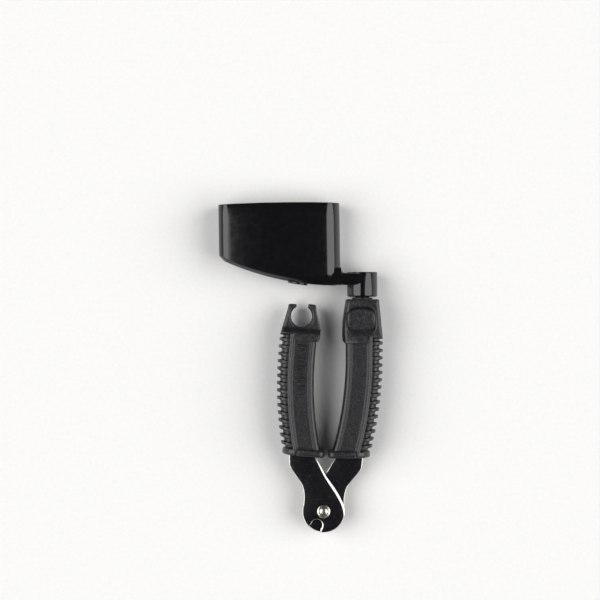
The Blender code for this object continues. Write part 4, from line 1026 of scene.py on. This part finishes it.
def arm():
    """Crank arm, as deep as the hub. Its ends follow the cup's corner wall and the hub's wall,
    and stay inside them, clear of the cup's hollow and of the pin's bore."""
    section = arm_section()
    middle_y = (ARM_LOW_Y + ARM_TOP_Y) / 2
    corner_x, corner_depth = corner_centre(CUP_RIGHT_X, CUP_CRANK_CORNER)
    hub_wall = HUB_RADIUS - 1.0
    starts = []
    for y, depth in section:
        wall = CUP_CRANK_CORNER - (CUP_WALL / 2 if y > middle_y else CUP_BOTTOM_EDGE + 0.3)
        past_centre = max(0.0, abs(depth) - corner_depth)
        starts.append(corner_x + math.sqrt(max(0.0, wall ** 2 - past_centre ** 2)))
    ends = [SWIVEL_X - math.sqrt(max(0.0, hub_wall ** 2 - depth ** 2)) for y, depth in section]
    shape = bmesh.new()
    rings = []
    for past_side, rise in ARM_WEB:
        ring = []
        for (y, depth), start, end in zip(section, starts, ends):
            x = CUP_RIGHT_X + past_side if past_side else (start if rise else end)
            lifted = y + (ARM_WEB_RISE * rise if y > middle_y else 0.0)
            ring.append(shape.verts.new((x, lifted, depth)))
        rings.append(ring)
    skin(shape, rings)
    for ring in (rings[0], rings[-1]):
        close_across(shape, ring)
    return shape


def close_across(shape, ring):
    """Close a ring whose second half runs back over its first."""
    for i in range(len(ring) // 2 - 1):
        shape.faces.new((ring[i], ring[i + 1], ring[len(ring) - 2 - i], ring[len(ring) - 1 - i]))


def boss():
    """Low round boss under the cup, square to its bottom."""
    profile = rounded_profile([(0.0, -0.9), (BOSS_RADIUS, -0.9), (BOSS_RADIUS, 1.1), (0.0, 1.1)], 0.6)
    x, y = leaned(BOSS_X, cup_bottom(BOSS_X))
    slope = math.asin((BOSS_X - CUP_LOW_X) / CUP_BOTTOM_RADIUS) + math.radians(CUP_LEAN_DEG)
    return moved(turned(profile, steps=64), x=x, y=y, turn_x=-math.pi / 2, turn_z=slope)


# ---------------------------------------------------------------- assembly

def build_tool():
    nylon = textured_nylon()
    abs_plastic = polished_abs()
    painted_shade_steel = blackened_steel()
    bright = steel_painted_highlight()
    nickel = nickelled_steel("nickelled_steel", "#e6e1d6", "#b9b3a6")
    piece("right_grip", joined(stem(), guard(), swivel_block(), collar_rail(RIGHT_RAIL_TOP_Y)), RIGHT,
          "right_arm", ["right_handle"], [nylon])
    piece("left_grip", joined(stem(), guard(), claw(), collar_rail(LEFT_RAIL_TOP_Y), raised_bars()), LEFT,
          "left_arm", ["left_handle"], [nylon])
    # The blades carry painted shade on their faces and a painted highlight on their rounded edges.
    piece("rear_blade", plate(-PLATE_FAR, -PLATE_NEAR, REAR_BEVEL), RIGHT, "right_arm", ["rear_cutter_plate"],
          [painted_shade_steel, bright])
    piece("front_blade", plate(PLATE_NEAR, PLATE_FAR, FRONT_BEVEL), LEFT, "left_arm", ["front_cutter_plate"],
          [painted_shade_steel, bright])
    piece("rivet", rivet(), RIGHT, "right_arm", ["pivot_rivet"], [nickel])
    piece("washer", washer(), RIGHT, "right_arm", ["rivet_washer"], [nickel])
    piece("swivel_neck", bush(), RIGHT, "right_arm", ["swivel_bush"], [turned_acetal()])
    piece("winder", joined(cup(), arm(), hub(), boss()), RIGHT, "crank", ["winder_head"],
          [abs_plastic])
    piece("hub_lid", cap(), RIGHT, "crank", ["hub_cap"], [abs_plastic])
    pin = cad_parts["swivel_pin"]
    pin.data.materials.clear()
    pin.data.materials.append(nickelled_steel("zinc_plated_steel", "#bfc1c4", "#8f9296"))


# -------------------------------------------------------------- the studio

def build_floor():
    half = 6.0
    shape = bmesh.new()
    bmesh.ops.create_grid(shape, x_segments=12, y_segments=12, size=half)
    mesh = bpy.data.meshes.new("floor")
    shape.to_mesh(mesh)
    shape.free()
    mesh.materials.append(matt_card())
    floor = bpy.data.objects.new("floor", mesh)
    bpy.context.scene.collection.objects.link(floor)


def soft_light(name, tilt_deg, spread_deg, strength):
    """A broad soft light, far off: tilt is its angle from straight overhead."""
    light = bpy.data.lights.new(name, "SUN")
    light.angle = math.radians(spread_deg)
    light.energy = strength
    lamp = bpy.data.objects.new(name, light)
    lamp.rotation_euler = (0.0, math.radians(tilt_deg), 0.0)
    bpy.context.scene.collection.objects.link(lamp)


def build_room():
    """A dim room with a pale horizon, so that the gloss stays dark from overhead."""
    world = bpy.data.worlds.new("room")
    world.use_nodes = True
    tree = world.node_tree
    tree.nodes.clear()
    direction = add(tree, "ShaderNodeTexCoord").outputs["Generated"]
    split = add(tree, "ShaderNodeSeparateXYZ", links={0: direction})
    height = add(tree, "ShaderNodeMapRange",
                 {"From Min": 0.02, "From Max": 0.3, "To Min": 0.0, "To Max": 1.0},
                 {"Value": split.outputs["Z"]}, interpolation_type="SMOOTHSTEP")
    colour = add(tree, "ShaderNodeMix", {6: linear("#e9e9ea"), 7: linear("#37373a")},
                 {0: height.outputs["Result"]}, data_type="RGBA")
    back = add(tree, "ShaderNodeBackground", {"Strength": 1.0}, {"Color": colour.outputs[2]})
    add(tree, "ShaderNodeOutputWorld", links={"Surface": back.outputs["Background"]})
    bpy.context.scene.world = world


def build_camera():
    """Straight above the tool's middle, over a view this wide 4 mm above mid thickness."""
    distance = 1.2
    width = 0.3078
    framing_height = 4.0 * MM
    camera = bpy.data.cameras.new("camera")
    camera.sensor_width = 36.0
    camera.lens = camera.sensor_width * distance / width
    camera.clip_start = 0.01
    camera.clip_end = 50.0
    holder = bpy.data.objects.new("camera", camera)
    holder.location = (PIVOT.x - 12.16 * MM, PIVOT.y + 108.6 * MM, PIVOT.z + distance + framing_height)
    bpy.context.scene.collection.objects.link(holder)
    bpy.context.scene.camera = holder


build_tool()
build_floor()
soft_light("left_softbox", tilt_deg=-42.5, spread_deg=56.0, strength=2.25)
soft_light("right_softbox", tilt_deg=47.5, spread_deg=57.0, strength=2.25)
build_room()
build_camera()
bpy.context.scene.view_settings.view_transform = "Standard"
